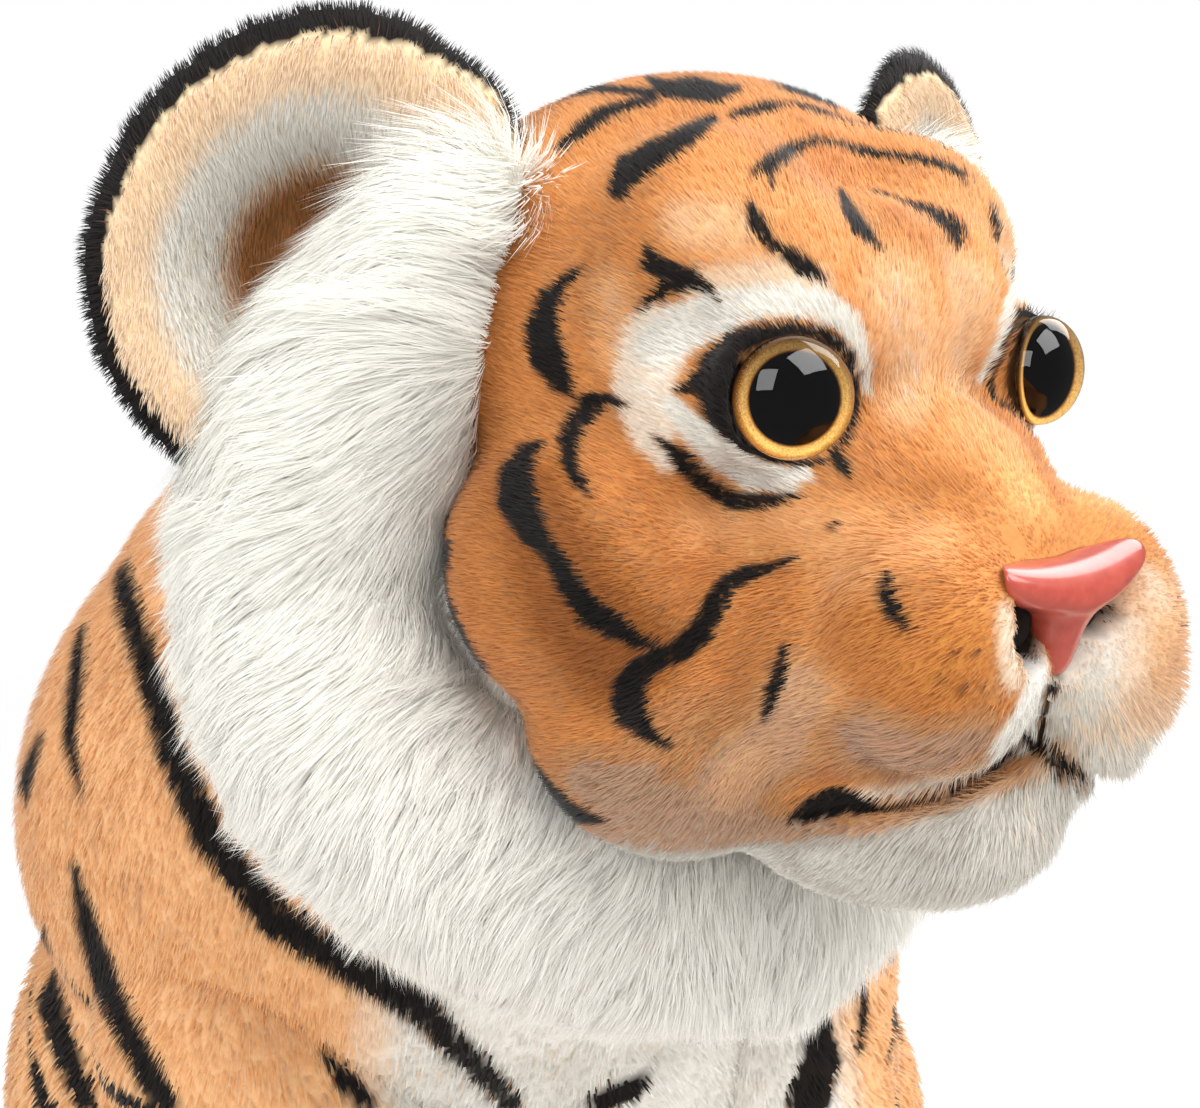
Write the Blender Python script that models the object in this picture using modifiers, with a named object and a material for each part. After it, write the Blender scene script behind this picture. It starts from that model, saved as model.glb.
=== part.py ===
"""Sitting plush tiger: sewn skins over fibre filling, with screw-on eyes and nose.

Metres, +Z up. The tiger looks along -Y and +X is its left. The origin is the
middle of the flat seat, on the ground. Run it in Blender 4.5, or with
blender --background --python part.py
"""

import math

import bmesh
import bpy
import numpy as np
from mathutils import Matrix, Vector

# Driving dimensions. The eye point is the middle between the two eyes.
EYE_HEIGHT = 0.500
EYE_FORWARD = 0.300
HEAD_WIDTH = 0.185
HEAD_LENGTH = 0.2475
HEAD_HEIGHT = 0.226
TORSO_WIDTH = 0.440
TORSO_DEPTH = 0.310
TORSO_HEIGHT = 0.505

# Fabric, and the clearances between pieces
SKIN = 0.006
GAP = 0.0003
SEAM_GAP = 0.0005
FILL_GAP = 0.0006
GROUND_CUT = 0.0005
OVERRUN = 0.6

# How softly one lobe of a stuffed form runs into the next
HEAD_BLEND = 0.010
BODY_BLEND = 0.015

# Eyes and nose
EYE_DIAMETER = 0.028
EYE_SPACING = 0.0832
EYE_DOME = 0.0085
EYE_RIM = 0.0022
EYE_SINK = 0.0020
EYE_TURN = math.radians(22.0)
POST_DIAMETER = 0.0050
POST_LENGTH = 0.022
WASHER_DIAMETER = 0.022
WASHER_THICKNESS = 0.0020
WASHER_GRIP = 0.0080
RUNNING_GAP = 0.0004
NOSE_WIDTH = 0.047
NOSE_HEIGHT = 0.036
NOSE_DEPTH = 0.026
NOSE_BLEND = 0.003
NOSE_POST_BITE = 0.004

# Ears
EAR_DIAMETER = 0.120
EAR_DISH = 0.024
EAR_BACK = 0.006
EAR_FRONT = 0.006
EAR_TURN = math.radians(25.0)

# Neck joint: a plane that leans forward, on which the head turns
NECK_LEAN = math.radians(60.0)
NECK_WIDTH = 0.226
NECK_DEPTH = 0.165
NECK_HEIGHT = 0.205
NECK_SLIP = 0.0006
RUFF_THICKNESS = 0.092

# Limbs and tail
LEG_DIAMETER = 0.098
HAUNCH_WIDTH = 0.142
HAUNCH_DEPTH = 0.240
HAUNCH_HEIGHT = 0.204
FOOT_WIDTH = 0.084
FOOT_LENGTH = 0.176
FOOT_HEIGHT = 0.072
TAIL_DIAMETER = 0.056
TAIL_BALL = 0.070
TAIL_LENGTH = 0.400
TAIL_TIP = 0.110
TAIL_SLIP = 0.0010
NECK_HOLE_DIAMETER = 0.0826

# Mesh density of the forms
FINE_CELLS = 4
PLAIN_CELLS = 3
SMALL_CELLS = 2
LIMB_SIDES_LEVEL = 2
LIMB_RINGS = 9
BALL_SEGMENTS = 16
EAR_CELLS = 7
CAGE_STEPS = 16
DOME_TURNS = (0.35, 0.65, 0.88)
SMOOTH_ANGLE = math.radians(35.0)

# Lobes of each form: middle, half sizes, and tilt about X in degrees. Middles and
# half sizes are shares of the form's own width, depth and height. A lobe with a
# middle off the centre plane has a twin on the other side.
HEAD_LOBE_SHARES = (
    ((0.0, 0.400, 0.055), (0.486, 0.366, 0.345), 0.0),
    ((0.106, 0.111, 0.072), (0.128, 0.156, 0.153), 2.6),
    ((0.262, 0.222, -0.237), (0.237, 0.199, 0.195), 1.0),
    ((0.249, 0.194, -0.389), (0.216, 0.186, 0.168), 0.0),
    ((0.238, 0.137, -0.009), (0.119, 0.097, 0.097), 0.0),
    ((0.0, -0.077, -0.142), (0.114, 0.154, 0.088), 48.0),
    ((0.0, 0.150, -0.310), (0.200, 0.185, 0.240), 0.0),
)
MUZZLE_LOBE_SHARES = (
    ((0.137, -0.116, -0.262), (0.127, 0.112, 0.188), -10.6),
)
CHIN_LOBE_SHARES = (
    ((0.0, 0.070, -0.489), (0.225, 0.235, 0.135), -4.6),
)
TORSO_LOBE_SHARES = (
    ((0.0, -0.045, 0.800), (0.345, 0.380, 0.190), 0.0),
    ((0.0, -0.060, 0.650), (0.442, 0.450, 0.320), 0.0),
    ((0.0, 0.060, 0.380), (0.486, 0.450, 0.360), 0.0),
    ((0.0, 0.125, 0.225), (0.490, 0.460, 0.270), 0.0),
)
NOSE_LOBE_SHARES = (
    ((0.0, 0.0, 0.24), (0.36, 0.40, 0.24), 0.0),
    ((0.30, 0.14, 0.20), (0.20, 0.36, 0.19), 0.0),
    ((0.0, 0.06, -0.16), (0.17, 0.36, 0.34), 0.0),
)

# Where the forms' middles lie from the eye point, as shares of the head's size
HEAD_CORE_SHARES = (0.0, 0.162, -0.111)
MUZZLE_CORE_SHARES = (0.0, -0.100, -0.250)
NOSE_SHARES = (0.0, -0.202, -0.205)
NECK_MIDDLE_SHARES = (0.0, 0.545, -0.310)
NECK_JOINT_SHARES = (0.0, 0.707, -0.420)
EAR_SHARES = (0.592, 0.471, 0.186)

# The ruff's middle line from the ear down to the bib and just past the middle, where
# each half is cut: shares of the head's size, and the radius of the ruff's thickness
RUFF_LINE_SHARES = (
    (0.530, 0.425, 0.150, 0.36),
    (0.573, 0.404, -0.088, 0.47),
    (0.589, 0.404, -0.323, 0.50),
    (0.514, 0.392, -0.442, 0.50),
    (0.373, 0.372, -0.540, 0.50),
    (0.189, 0.339, -0.664, 0.50),
    (0.0, 0.323, -0.743, 0.50),
    (-0.189, 0.339, -0.664, 0.50),
)

# A front leg's middle line from the shoulder to the toes: shares of the torso's
# width, depth and height, and the radius as a share of the leg's diameter
LEG_LINE_SHARES = (
    (0.205, -0.030, 0.720, 0.50),
    (0.300, -0.190, 0.560, 0.58),
    (0.262, -0.255, 0.425, 0.56),
    (0.222, -0.350, 0.290, 0.50),
    (0.196, -0.445, 0.185, 0.455),
    (0.184, -0.520, 0.115, 0.44),
)
PAW_LINE_SHARES = (
    (0.184, -0.673, 0.467),
    (0.188, -0.800, 0.390),
)
HAUNCH_MIDDLE_SHARES = (0.345, 0.020, 0.470)
FOOT_MIDDLE_SHARES = (0.366, -0.450)
TAIL_ROOT_SHARE = 0.480
# The tail's middle line on the ground: shares of its length sideways and back
TAIL_LINE_SHARES = (
    (0.0, 0.0, 0.50),
    (0.02, 0.16, 0.50),
    (0.09, 0.32, 0.49),
    (0.23, 0.44, 0.47),
    (0.41, 0.49, 0.44),
    (0.59, 0.47, 0.40),
)

# Colours
ORANGE = (0.80, 0.36, 0.12, 1.0)
CREAM = (0.86, 0.80, 0.68, 1.0)
WHITE = (0.92, 0.91, 0.88, 1.0)
BLACK = (0.02, 0.018, 0.018, 1.0)
FIBRE = (0.93, 0.93, 0.95, 1.0)
PINK = (0.72, 0.25, 0.20, 1.0)
AMBER = (0.60, 0.35, 0.08, 1.0)
PLASTIC = (0.85, 0.85, 0.83, 1.0)

EYE_POINT = Vector((0.0, -EYE_FORWARD, EYE_HEIGHT))
HEAD_BOX = Vector((HEAD_WIDTH, HEAD_LENGTH, HEAD_HEIGHT))
TORSO_BOX = Vector((TORSO_WIDTH, TORSO_DEPTH, TORSO_HEIGHT))
SIDES = (("left", 1.0), ("right", -1.0))


def scaled(shares, box):
    """A place given as shares of a box's width, depth and height."""
    return Vector(share * size for share, size in zip(shares, box))


def from_eyes(shares):
    """A place given as shares of the head's size from the eye point."""
    return EYE_POINT + scaled(shares, HEAD_BOX)


def lobes(shares, box, origin):
    """Ellipsoids (middle, half sizes, tilt) of a form, twins included."""
    found = []
    for middle, halves, tilt in shares:
        for side in (1.0, -1.0) if middle[0] else (1.0,):
            place = scaled((middle[0] * side, middle[1], middle[2]), box)
            found.append((origin + place, scaled(halves, box), math.radians(tilt)))
    return found


def depth_outside(points, ellipsoids, blend):
    """Signed distance of points from a form, negative inside, blended softly."""
    total = np.zeros(len(points))
    for middle, halves, tilt in ellipsoids:
        offset = points - np.array(middle)
        across = offset[:, 1] * math.cos(tilt) + offset[:, 2] * math.sin(tilt)
        upward = offset[:, 2] * math.cos(tilt) - offset[:, 1] * math.sin(tilt)
        local = np.stack([offset[:, 0], across, upward], axis=1)
        near = np.linalg.norm(local / np.array(halves), axis=1)
        slope = np.linalg.norm(local / np.array(halves) ** 2, axis=1)
        distance = near * (near - 1.0) / np.maximum(slope, 1e-9 / blend)
        total += np.exp(np.clip(-distance / blend, -60.0, 60.0))
    return -blend * np.log(np.maximum(total, 1e-30))


def surface_along(core, directions, ellipsoids, blend, inset):
    """Where rays from a core point leave a form that is shrunk by the inset."""
    inner = np.zeros(len(directions))
    outer = np.full(len(directions), OVERRUN)
    for _ in range(60):
        middle = (inner + outer) / 2.0
        points = np.array(core) + directions * middle[:, None]
        inside = depth_outside(points, ellipsoids, blend) < -inset
        inner = np.where(inside, middle, inner)
        outer = np.where(inside, outer, middle)
    return inner


def named_material(name, colour, roughness):
    """One Principled material for one piece."""
    material = bpy.data.materials.new(name)
    material.use_nodes = True
    shader = material.node_tree.nodes["Principled BSDF"]
    shader.inputs["Base Color"].default_value = colour
    shader.inputs["Roughness"].default_value = roughness
    return material


def add_piece(name, mesh, colour, roughness=0.9):
    """Link a mesh as one piece of the tiger."""
    piece = bpy.data.objects.new(name, mesh)
    mesh.materials.clear()
    mesh.materials.append(named_material(name, colour, roughness))
    TIGER.objects.link(piece)
    return piece


def add_cutter(name, mesh):
    """Link a mesh as a cutter, which is no part of the tiger."""
    cutter = bpy.data.objects.new(name, mesh)
    cutter.hide_render = True
    cutter.display_type = 'WIRE'
    CUTTERS.objects.link(cutter)
    return cutter


def cut(piece, *cutters, solver='EXACT'):
    """Cut a piece by each cutter in turn."""
    for cutter in cutters:
        modifier = piece.modifiers.new("Cut " + cutter.name, 'BOOLEAN')
        modifier.operation = 'DIFFERENCE'
        modifier.solver = solver
        modifier.object = cutter
    return piece


def join(piece, *others, solver='EXACT'):
    """Unite a piece with other shapes that touch it."""
    for other in others:
        modifier = piece.modifiers.new("Join " + other.name, 'BOOLEAN')
        modifier.operation = 'UNION'
        modifier.solver = solver
        modifier.object = other
    return piece


def smooth(mesh):
    """Shade a round piece smooth."""
    mesh.shade_smooth()
    mesh.set_sharp_from_angle(angle=SMOOTH_ANGLE)
    return mesh


def mesh_from(name, bm):
    """Turn a bmesh into a mesh and free it."""
    bmesh.ops.recalc_face_normals(bm, faces=bm.faces)
    mesh = bpy.data.meshes.new(name)
    bm.to_mesh(mesh)
    bm.free()
    return smooth(mesh)


def form_mesh(name, form, cells, inset, shrink):
    """Closed cage of a stuffed form: a divided cube blown out to the surface. The inset
    sets the surface in, and the shrink then draws it evenly towards the core."""
    bm = bmesh.new()
    bmesh.ops.create_cube(bm, size=2.0)
    bmesh.ops.subdivide_edges(bm, edges=bm.edges[:], cuts=cells - 1, use_grid_fill=True)
    spread = np.array([vertex.co[:] for vertex in bm.verts])
    directions = np.tan(spread * math.pi / 4.0)
    directions /= np.linalg.norm(directions, axis=1)[:, None]
    reach = surface_along(form.core, directions, form.ellipsoids, form.blend, inset)
    places = np.array(form.core) + directions * reach[:, None]
    if form.floor is not None:
        places[:, 2] = np.maximum(places[:, 2], form.floor + inset)
    for vertex, place in zip(bm.verts, places):
        vertex.co = place
    fit_cage(bm, places)
    for vertex in bm.verts:
        vertex.co -= (vertex.co - form.core) * (shrink / reach.min())
    return mesh_from(name, bm)


def fit_cage(bm, places):
    """Move a cage's points out until its subdivided surface meets their places."""
    for _ in range(CAGE_STEPS):
        settled = []
        for vertex in bm.verts:
            count = len(vertex.link_faces)
            faces = sum((face.calc_center_median() for face in vertex.link_faces), Vector())
            edges = sum((edge.verts[0].co + edge.verts[1].co for edge in vertex.link_edges),
                        Vector()) / 2.0
            settled.append((faces / count + 2.0 * edges / count
                            + (count - 3.0) * vertex.co) / count)
        for vertex, place, now in zip(bm.verts, places, settled):
            vertex.co += Vector(place) - now


def rounded(piece):
    """One level of subdivision surface over a coarse cage, in flat triangles."""
    modifier = piece.modifiers.new("Stuffing", 'SUBSURF')
    modifier.levels = 1
    modifier.render_levels = 1
    flat = piece.modifiers.new("Flat faces", 'TRIANGULATE')
    flat.quad_method = 'FIXED'
    return piece


def sampled_line(stations, count):
    """Points on a smooth curve through stations, each with its radius."""
    values = [np.array(station) for station in stations]
    values = [2.0 * values[0] - values[1]] + values + [2.0 * values[-1] - values[-2]]
    spans = len(values) - 3
    points = []
    for number in range(count):
        place = number * spans / (count - 1)
        span = min(int(place), spans - 1)
        part = place - span
        before, start, end, after = values[span:span + 4]
        points.append(0.5 * (2.0 * start + (end - before) * part
                             + (2.0 * before - 5.0 * start + 4.0 * end - after) * part ** 2
                             + (3.0 * start - before - 3.0 * end + after) * part ** 3))
    return points


def rounded_end(points, inset):
    """Add the rings that close a limb's last point in a dome."""
    last = points[-1]
    heading = last[:3] - points[-2][:3]
    heading /= np.linalg.norm(heading)
    dome = []
    for turn in DOME_TURNS:
        angle = turn * math.pi / 2.0
        ahead = last[:3] + heading * (last[3] - inset) * math.sin(angle)
        dome.append(np.append(ahead, (last[3] - inset) * math.cos(angle)))
    return dome


def tube_mesh(name, points, inset=0.0, domed=True):
    """Closed tube of changing radius along points (x, y, z, radius)."""
    rings = [np.append(point[:3], point[3] - inset) for point in points]
    if domed:
        rings += rounded_end(points, inset)
    curve = bpy.data.curves.new(name, 'CURVE')
    curve.dimensions = '3D'
    curve.bevel_depth = 1.0
    curve.bevel_resolution = LIMB_SIDES_LEVEL
    curve.use_fill_caps = True
    spline = curve.splines.new('POLY')
    spline.points.add(len(rings) - 1)
    for point, ring in zip(spline.points, rings):
        point.co = (*ring[:3], 1.0)
        point.radius = ring[3]
    guide = bpy.data.objects.new(name, curve)
    CUTTERS.objects.link(guide)
    bpy.context.view_layer.update()
    evaluated = guide.evaluated_get(bpy.context.evaluated_depsgraph_get())
    mesh = bpy.data.meshes.new_from_object(evaluated)
    bpy.data.objects.remove(guide)
    bm = bmesh.new()
    bm.from_mesh(mesh)
    bmesh.ops.remove_doubles(bm, verts=bm.verts, dist=GAP / 10.0)
    bmesh.ops.triangulate(bm, faces=bm.faces[:], quad_method='FIXED')
    bpy.data.meshes.remove(mesh)
    return mesh_from(name, bm)


def box_mesh(name, size, place):
    """A box, for flat cuts."""
    bm = bmesh.new()
    bmesh.ops.create_cube(bm, size=1.0)
    bmesh.ops.transform(bm, matrix=place @ Matrix.Diagonal((*size, 1.0)), verts=bm.verts)
    return mesh_from(name, bm)


def disc_mesh(name, radius, low, high, place):
    """A cylinder along the place's own Z, from low to high."""
    bm = bmesh.new()
    bmesh.ops.create_cone(bm, cap_ends=True, segments=BALL_SEGMENTS, radius1=radius,
                          radius2=radius, depth=high - low)
    shift = Matrix.Translation((0.0, 0.0, (low + high) / 2.0))
    bmesh.ops.transform(bm, matrix=place @ shift, verts=bm.verts)
    return mesh_from(name, bm)


def facing(origin, outward):
    """Frame at a place whose Z points outward."""
    return Matrix.Translation(origin) @ outward.to_track_quat('Z', 'Y').to_matrix().to_4x4()


def dome_mesh(name, radius, height, place, rings=5):
    """A lens: flat back, domed front along the place's Z."""
    curve_radius = (radius ** 2 + height ** 2) / (2.0 * height)
    full = math.asin(min(radius / curve_radius, 1.0))
    bm = bmesh.new()
    outline = [bm.verts.new((0.0, 0.0, 0.0))]
    for ring in range(rings + 1):
        angle = full * (1.0 - ring / rings)
        across = curve_radius * math.sin(angle)
        along = curve_radius * math.cos(angle) - (curve_radius - height)
        outline.append(bm.verts.new((across, 0.0, along)))
    edges = [bm.edges.new(pair) for pair in zip(outline, outline[1:])]
    bmesh.ops.spin(bm, geom=outline + edges, cent=(0.0, 0.0, 0.0), axis=(0.0, 0.0, 1.0),
                   angle=2.0 * math.pi, steps=BALL_SEGMENTS, use_duplicate=False)
    bmesh.ops.remove_doubles(bm, verts=bm.verts, dist=GAP / 10.0)
    bmesh.ops.transform(bm, matrix=place, verts=bm.verts)
    return mesh_from(name, bm)


def dish_mesh(name, radius, depth, place):
    """An open spherical dish, hollow towards the place's Z."""
    curve_radius = (radius ** 2 + depth ** 2) / (2.0 * depth)
    bm = bmesh.new()
    bmesh.ops.create_grid(bm, x_segments=EAR_CELLS, y_segments=EAR_CELLS, size=1.0)
    for vertex in bm.verts:
        x, y = vertex.co.x, vertex.co.y
        across = x * math.sqrt(1.0 - y * y / 2.0) * radius
        along = y * math.sqrt(1.0 - x * x / 2.0) * radius
        bowl = math.sqrt(max(curve_radius ** 2 - across ** 2 - along ** 2, 0.0))
        vertex.co = (across, along, curve_radius - depth - bowl)
    bmesh.ops.triangulate(bm, faces=bm.faces[:], quad_method='FIXED')
    bmesh.ops.transform(bm, matrix=place, verts=bm.verts)
    mesh = bpy.data.meshes.new(name)
    bm.to_mesh(mesh)
    bm.free()
    return smooth(mesh)


def surface_point(ellipsoids, blend, x, z):
    """The front-most point of a form at a given x and z."""
    far = np.array((x, EYE_POINT.y + HEAD_LENGTH / 2.0, z))
    reach = surface_along(far, np.array(((0.0, -1.0, 0.0),)), ellipsoids, blend, 0.0)
    return Vector(far + np.array((0.0, -1.0, 0.0)) * reach[0])


def remove_everything():
    """Start from an empty scene."""
    for thing in list(bpy.data.objects):
        bpy.data.objects.remove(thing)


def new_collection(name):
    """A collection under the scene."""
    collection = bpy.data.collections.new(name)
    bpy.context.scene.collection.children.link(collection)
    return collection


def hang_from(name, joint, things):
    """Parent a moving body's objects to an empty on its joint's axis."""
    empty = bpy.data.objects.new(name, None)
    empty.location = joint
    TIGER.objects.link(empty)
    for thing in things:
        thing.parent = empty
        thing.matrix_parent_inverse = Matrix.Translation(-joint)


def build_neck_planes():
    """Boxes on each side of the leaning neck plane, one slip apart."""
    joint = from_eyes(NECK_JOINT_SHARES)
    outward = Vector((0.0, -math.sin(NECK_LEAN), math.cos(NECK_LEAN)))
    place = facing(joint, outward)
    size = (2.0 * OVERRUN, 2.0 * OVERRUN, 2.0 * OVERRUN)
    middle = OVERRUN - NECK_SLIP / 2.0
    front = box_mesh("head_side", size, place @ Matrix.Translation((0.0, 0.0, middle)))
    behind = box_mesh("torso_side", size, place @ Matrix.Translation((0.0, 0.0, -middle)))
    return add_cutter("head_side", front), add_cutter("torso_side", behind)


def build_ground():
    """Everything below the ground is cut away."""
    size = (2.0 * OVERRUN, 2.0 * OVERRUN, 2.0 * OVERRUN)
    place = Matrix.Translation((0.0, 0.0, -OVERRUN))
    return add_cutter("ground", box_mesh("ground", size, place))


class Form:
    """A stuffed form that can be made at any inset, as piece or as cutter."""

    def __init__(self, name, core, ellipsoids, blend, floor=None):
        self.name = name
        self.core = core
        self.ellipsoids = ellipsoids
        self.blend = blend
        self.floor = floor

    def piece(self, name, colour, cells):
        """The whole form."""
        return rounded(add_piece(name, form_mesh(name, self, cells, 0.0, 0.0), colour))

    def filling(self, name, cells):
        """What fills the form inside its skin."""
        mesh = form_mesh(name, self, cells, SKIN, FILL_GAP)
        return rounded(add_piece(name, mesh, FIBRE))

    def hollow(self, name, cells):
        """Cutter that leaves the form's skin."""
        return rounded(add_cutter(name, form_mesh(name, self, cells, SKIN, 0.0)))

    def outside(self, name, cells):
        """Cutter for the pieces that are sewn to the form."""
        return rounded(add_cutter(name, form_mesh(name, self, cells, 0.0, -SEAM_GAP)))


def build_head(torso_side):
    """Head skin and filling, with the eyes in them."""
    form = Form("head", from_eyes(HEAD_CORE_SHARES),
                lobes(HEAD_LOBE_SHARES, HEAD_BOX, EYE_POINT), HEAD_BLEND)
    cover = form.piece("head_cover", ORANGE, FINE_CELLS)
    cut(cover, form.hollow("head_hollow", FINE_CELLS), build_neck_hole(), torso_side,
        solver='MANIFOLD')
    filling = form.filling("head_filling", FINE_CELLS)
    for side, sign in SIDES:
        build_eye(side, sign, form, cover, filling)
    return form, cover, filling, form.outside("head_outside", FINE_CELLS)


def build_muzzle(head_outside, neck_outside):
    """Muzzle and chin pads, sewn to the front of the head."""
    muzzle_form = Form("muzzle", from_eyes(MUZZLE_CORE_SHARES),
                       lobes(MUZZLE_LOBE_SHARES, HEAD_BOX, EYE_POINT), HEAD_BLEND)
    chin_form = Form("chin", from_eyes(CHIN_LOBE_SHARES[0][0]),
                     lobes(CHIN_LOBE_SHARES, HEAD_BOX, EYE_POINT), HEAD_BLEND)
    muzzle = muzzle_form.piece("muzzle", CREAM, PLAIN_CELLS)
    cut(muzzle, head_outside, solver='MANIFOLD')
    muzzle_outside = muzzle_form.outside("muzzle_outside", PLAIN_CELLS)
    chin = chin_form.piece("chin", WHITE, PLAIN_CELLS)
    cut(chin, head_outside, neck_outside, muzzle_outside)
    return muzzle, muzzle_outside, chin_form.outside("chin_outside", PLAIN_CELLS)


def build_neck_hole():
    """The opening at the back of the head skin, where the neck goes in."""
    joint = from_eyes(NECK_JOINT_SHARES)
    middle = from_eyes(NECK_MIDDLE_SHARES)
    inward = (from_eyes(HEAD_CORE_SHARES) - middle).normalized()
    place = facing(joint, inward)
    reach = (from_eyes(HEAD_CORE_SHARES) - joint).length
    return add_cutter("neck_hole", disc_mesh("neck_hole", NECK_HOLE_DIAMETER / 2.0,
                                             -NECK_DEPTH, reach, place))


def build_eye(side, sign, form, cover, filling):
    """One screw-on eye: clear dome, backing with its post, and lock washer."""
    seat = surface_point(form.ellipsoids, form.blend, sign * EYE_SPACING / 2.0, EYE_POINT.z)
    outward = Vector((sign * math.sin(EYE_TURN), -math.cos(EYE_TURN), 0.0))
    place = facing(seat - outward * EYE_SINK, outward)
    radius = EYE_DIAMETER / 2.0
    lens = dome_mesh("eye_lens_" + side, radius - EYE_RIM / 2.0, EYE_DOME,
                     place @ Matrix.Translation((0.0, 0.0, EYE_RIM + GAP)))
    add_piece("eye_lens_" + side, lens, AMBER, 0.05)
    shank = add_piece("eye_shank_" + side,
                      disc_mesh("eye_shank_" + side, radius, 0.0, EYE_RIM, place), BLACK, 0.3)
    post_radius = POST_DIAMETER / 2.0
    post = disc_mesh("eye_post_" + side, post_radius, -POST_LENGTH, EYE_RIM / 2.0, place)
    join(shank, add_cutter("eye_post_" + side, post))
    washer_top = -(SKIN + WASHER_GRIP)
    washer = disc_mesh("eye_washer_" + side, WASHER_DIAMETER / 2.0,
                       washer_top - WASHER_THICKNESS, washer_top, place)
    hole = disc_mesh("eye_post_hole_" + side, post_radius + RUNNING_GAP, -OVERRUN,
                     EYE_DOME, place)
    hole = add_cutter("eye_post_hole_" + side, hole)
    cut(add_piece("eye_washer_" + side, washer, PLASTIC, 0.4), hole)
    pocket = disc_mesh("eye_pocket_" + side, radius + GAP, -GAP, OVERRUN, place)
    channel = disc_mesh("eye_channel_" + side, post_radius + RUNNING_GAP, -POST_LENGTH - GAP,
                        OVERRUN, place)
    room = disc_mesh("eye_room_" + side, WASHER_DIAMETER / 2.0 + RUNNING_GAP,
                     washer_top - WASHER_THICKNESS - GAP, washer_top + GAP, place)
    cutters = (add_cutter("eye_pocket_" + side, pocket),
               add_cutter("eye_channel_" + side, channel),
               add_cutter("eye_room_" + side, room))
    for piece in (cover, filling):
        cut(piece, *cutters, solver='MANIFOLD')


def build_nose(head_form, padding, head_outside, muzzle_outside):
    """Moulded nose on a post through the fabric, and its lock washer inside."""
    middle = from_eyes(NOSE_SHARES)
    box = Vector((NOSE_WIDTH, NOSE_DEPTH, NOSE_HEIGHT))
    form = Form("nose", middle, lobes(NOSE_LOBE_SHARES, box, middle), NOSE_BLEND)
    nose = form.piece("nose", PINK, PLAIN_CELLS)
    cut(nose, head_outside, muzzle_outside, solver='MANIFOLD')
    seat = surface_point(head_form.ellipsoids, head_form.blend, 0.0, middle.z)
    place = facing(seat, Vector((0.0, -1.0, 0.0)))
    post_radius = POST_DIAMETER / 2.0
    post = disc_mesh("nose_post", post_radius, -POST_LENGTH, NOSE_POST_BITE, place)
    join(nose, add_cutter("nose_post", post), solver='MANIFOLD')
    washer_top = -(SKIN + WASHER_GRIP)
    washer = disc_mesh("nose_washer", WASHER_DIAMETER / 2.0, washer_top - WASHER_THICKNESS,
                       washer_top, place)
    channel = disc_mesh("nose_channel", post_radius + RUNNING_GAP, -POST_LENGTH - GAP,
                        OVERRUN, place)
    channel = add_cutter("nose_channel", channel)
    room = disc_mesh("nose_room", WASHER_DIAMETER / 2.0 + RUNNING_GAP,
                     washer_top - WASHER_THICKNESS - GAP, washer_top + GAP, place)
    room = add_cutter("nose_room", room)
    hole = disc_mesh("nose_post_hole", post_radius + RUNNING_GAP, -OVERRUN,
                     OVERRUN, place)
    cut(add_piece("nose_washer", washer, PLASTIC, 0.4), add_cutter("nose_post_hole", hole))
    for piece in padding:
        cut(piece, channel, room, solver='MANIFOLD')


def build_neck(torso_side, outside):
    """Stuffed neck between the head and the neck plane, on which it turns."""
    middle = from_eyes(NECK_MIDDLE_SHARES)
    halves = Vector((NECK_WIDTH, NECK_DEPTH, NECK_HEIGHT)) / 2.0
    form = Form("neck", middle, [(middle, halves, 0.0)], HEAD_BLEND)
    cut(form.piece("neck", ORANGE, PLAIN_CELLS), outside, torso_side)
    return form.outside("neck_outside", PLAIN_CELLS)


def build_ruff(cutters):
    """Long-pile collar, one half on each side, from the ear to the bib."""
    stations = []
    for x, y, z, radius in RUFF_LINE_SHARES:
        stations.append((*from_eyes((x, y, z)), radius * RUFF_THICKNESS))
    line = sampled_line(stations, LIMB_RINGS)
    outsides = []
    for side, sign in SIDES:
        turned = [point * np.array((sign, 1.0, 1.0, 1.0)) for point in line]
        turned = turned[::-1]
        mesh = tube_mesh("ruff_" + side, turned)
        other_half = add_cutter("beyond_middle_" + side, box_mesh(
            "beyond_middle_" + side, (OVERRUN, OVERRUN, OVERRUN),
            Matrix.Translation((sign * (GAP - OVERRUN) / 2.0, -EYE_FORWARD, EYE_HEIGHT))))
        cut(add_piece("ruff_" + side, mesh, WHITE), *cutters, other_half)
        outsides.append(add_cutter("ruff_outside_" + side,
                                   tube_mesh("ruff_outside_" + side, turned, -SEAM_GAP)))
    return outsides


def build_ears(cutters):
    """Each ear: a black back panel and a cream front panel, dished together."""
    for side, sign in SIDES:
        middle = from_eyes((EAR_SHARES[0] * sign, EAR_SHARES[1], EAR_SHARES[2]))
        outward = Vector((sign * math.sin(EAR_TURN), -math.cos(EAR_TURN), 0.0))
        place = facing(middle, outward)
        for layer, colour, thickness, offset in (
                ("ear_front_", CREAM, EAR_FRONT, SEAM_GAP),
                ("ear_back_", BLACK, -EAR_BACK, 0.0)):
            shifted = place @ Matrix.Translation((0.0, 0.0, offset))
            mesh = dish_mesh(layer + side, EAR_DIAMETER / 2.0, EAR_DISH, shifted)
            panel = add_piece(layer + side, mesh, colour)
            shell = panel.modifiers.new("Panel", 'SOLIDIFY')
            shell.thickness = abs(thickness)
            shell.offset = 1.0 if thickness > 0.0 else -1.0
            cut(panel, *cutters)


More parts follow.
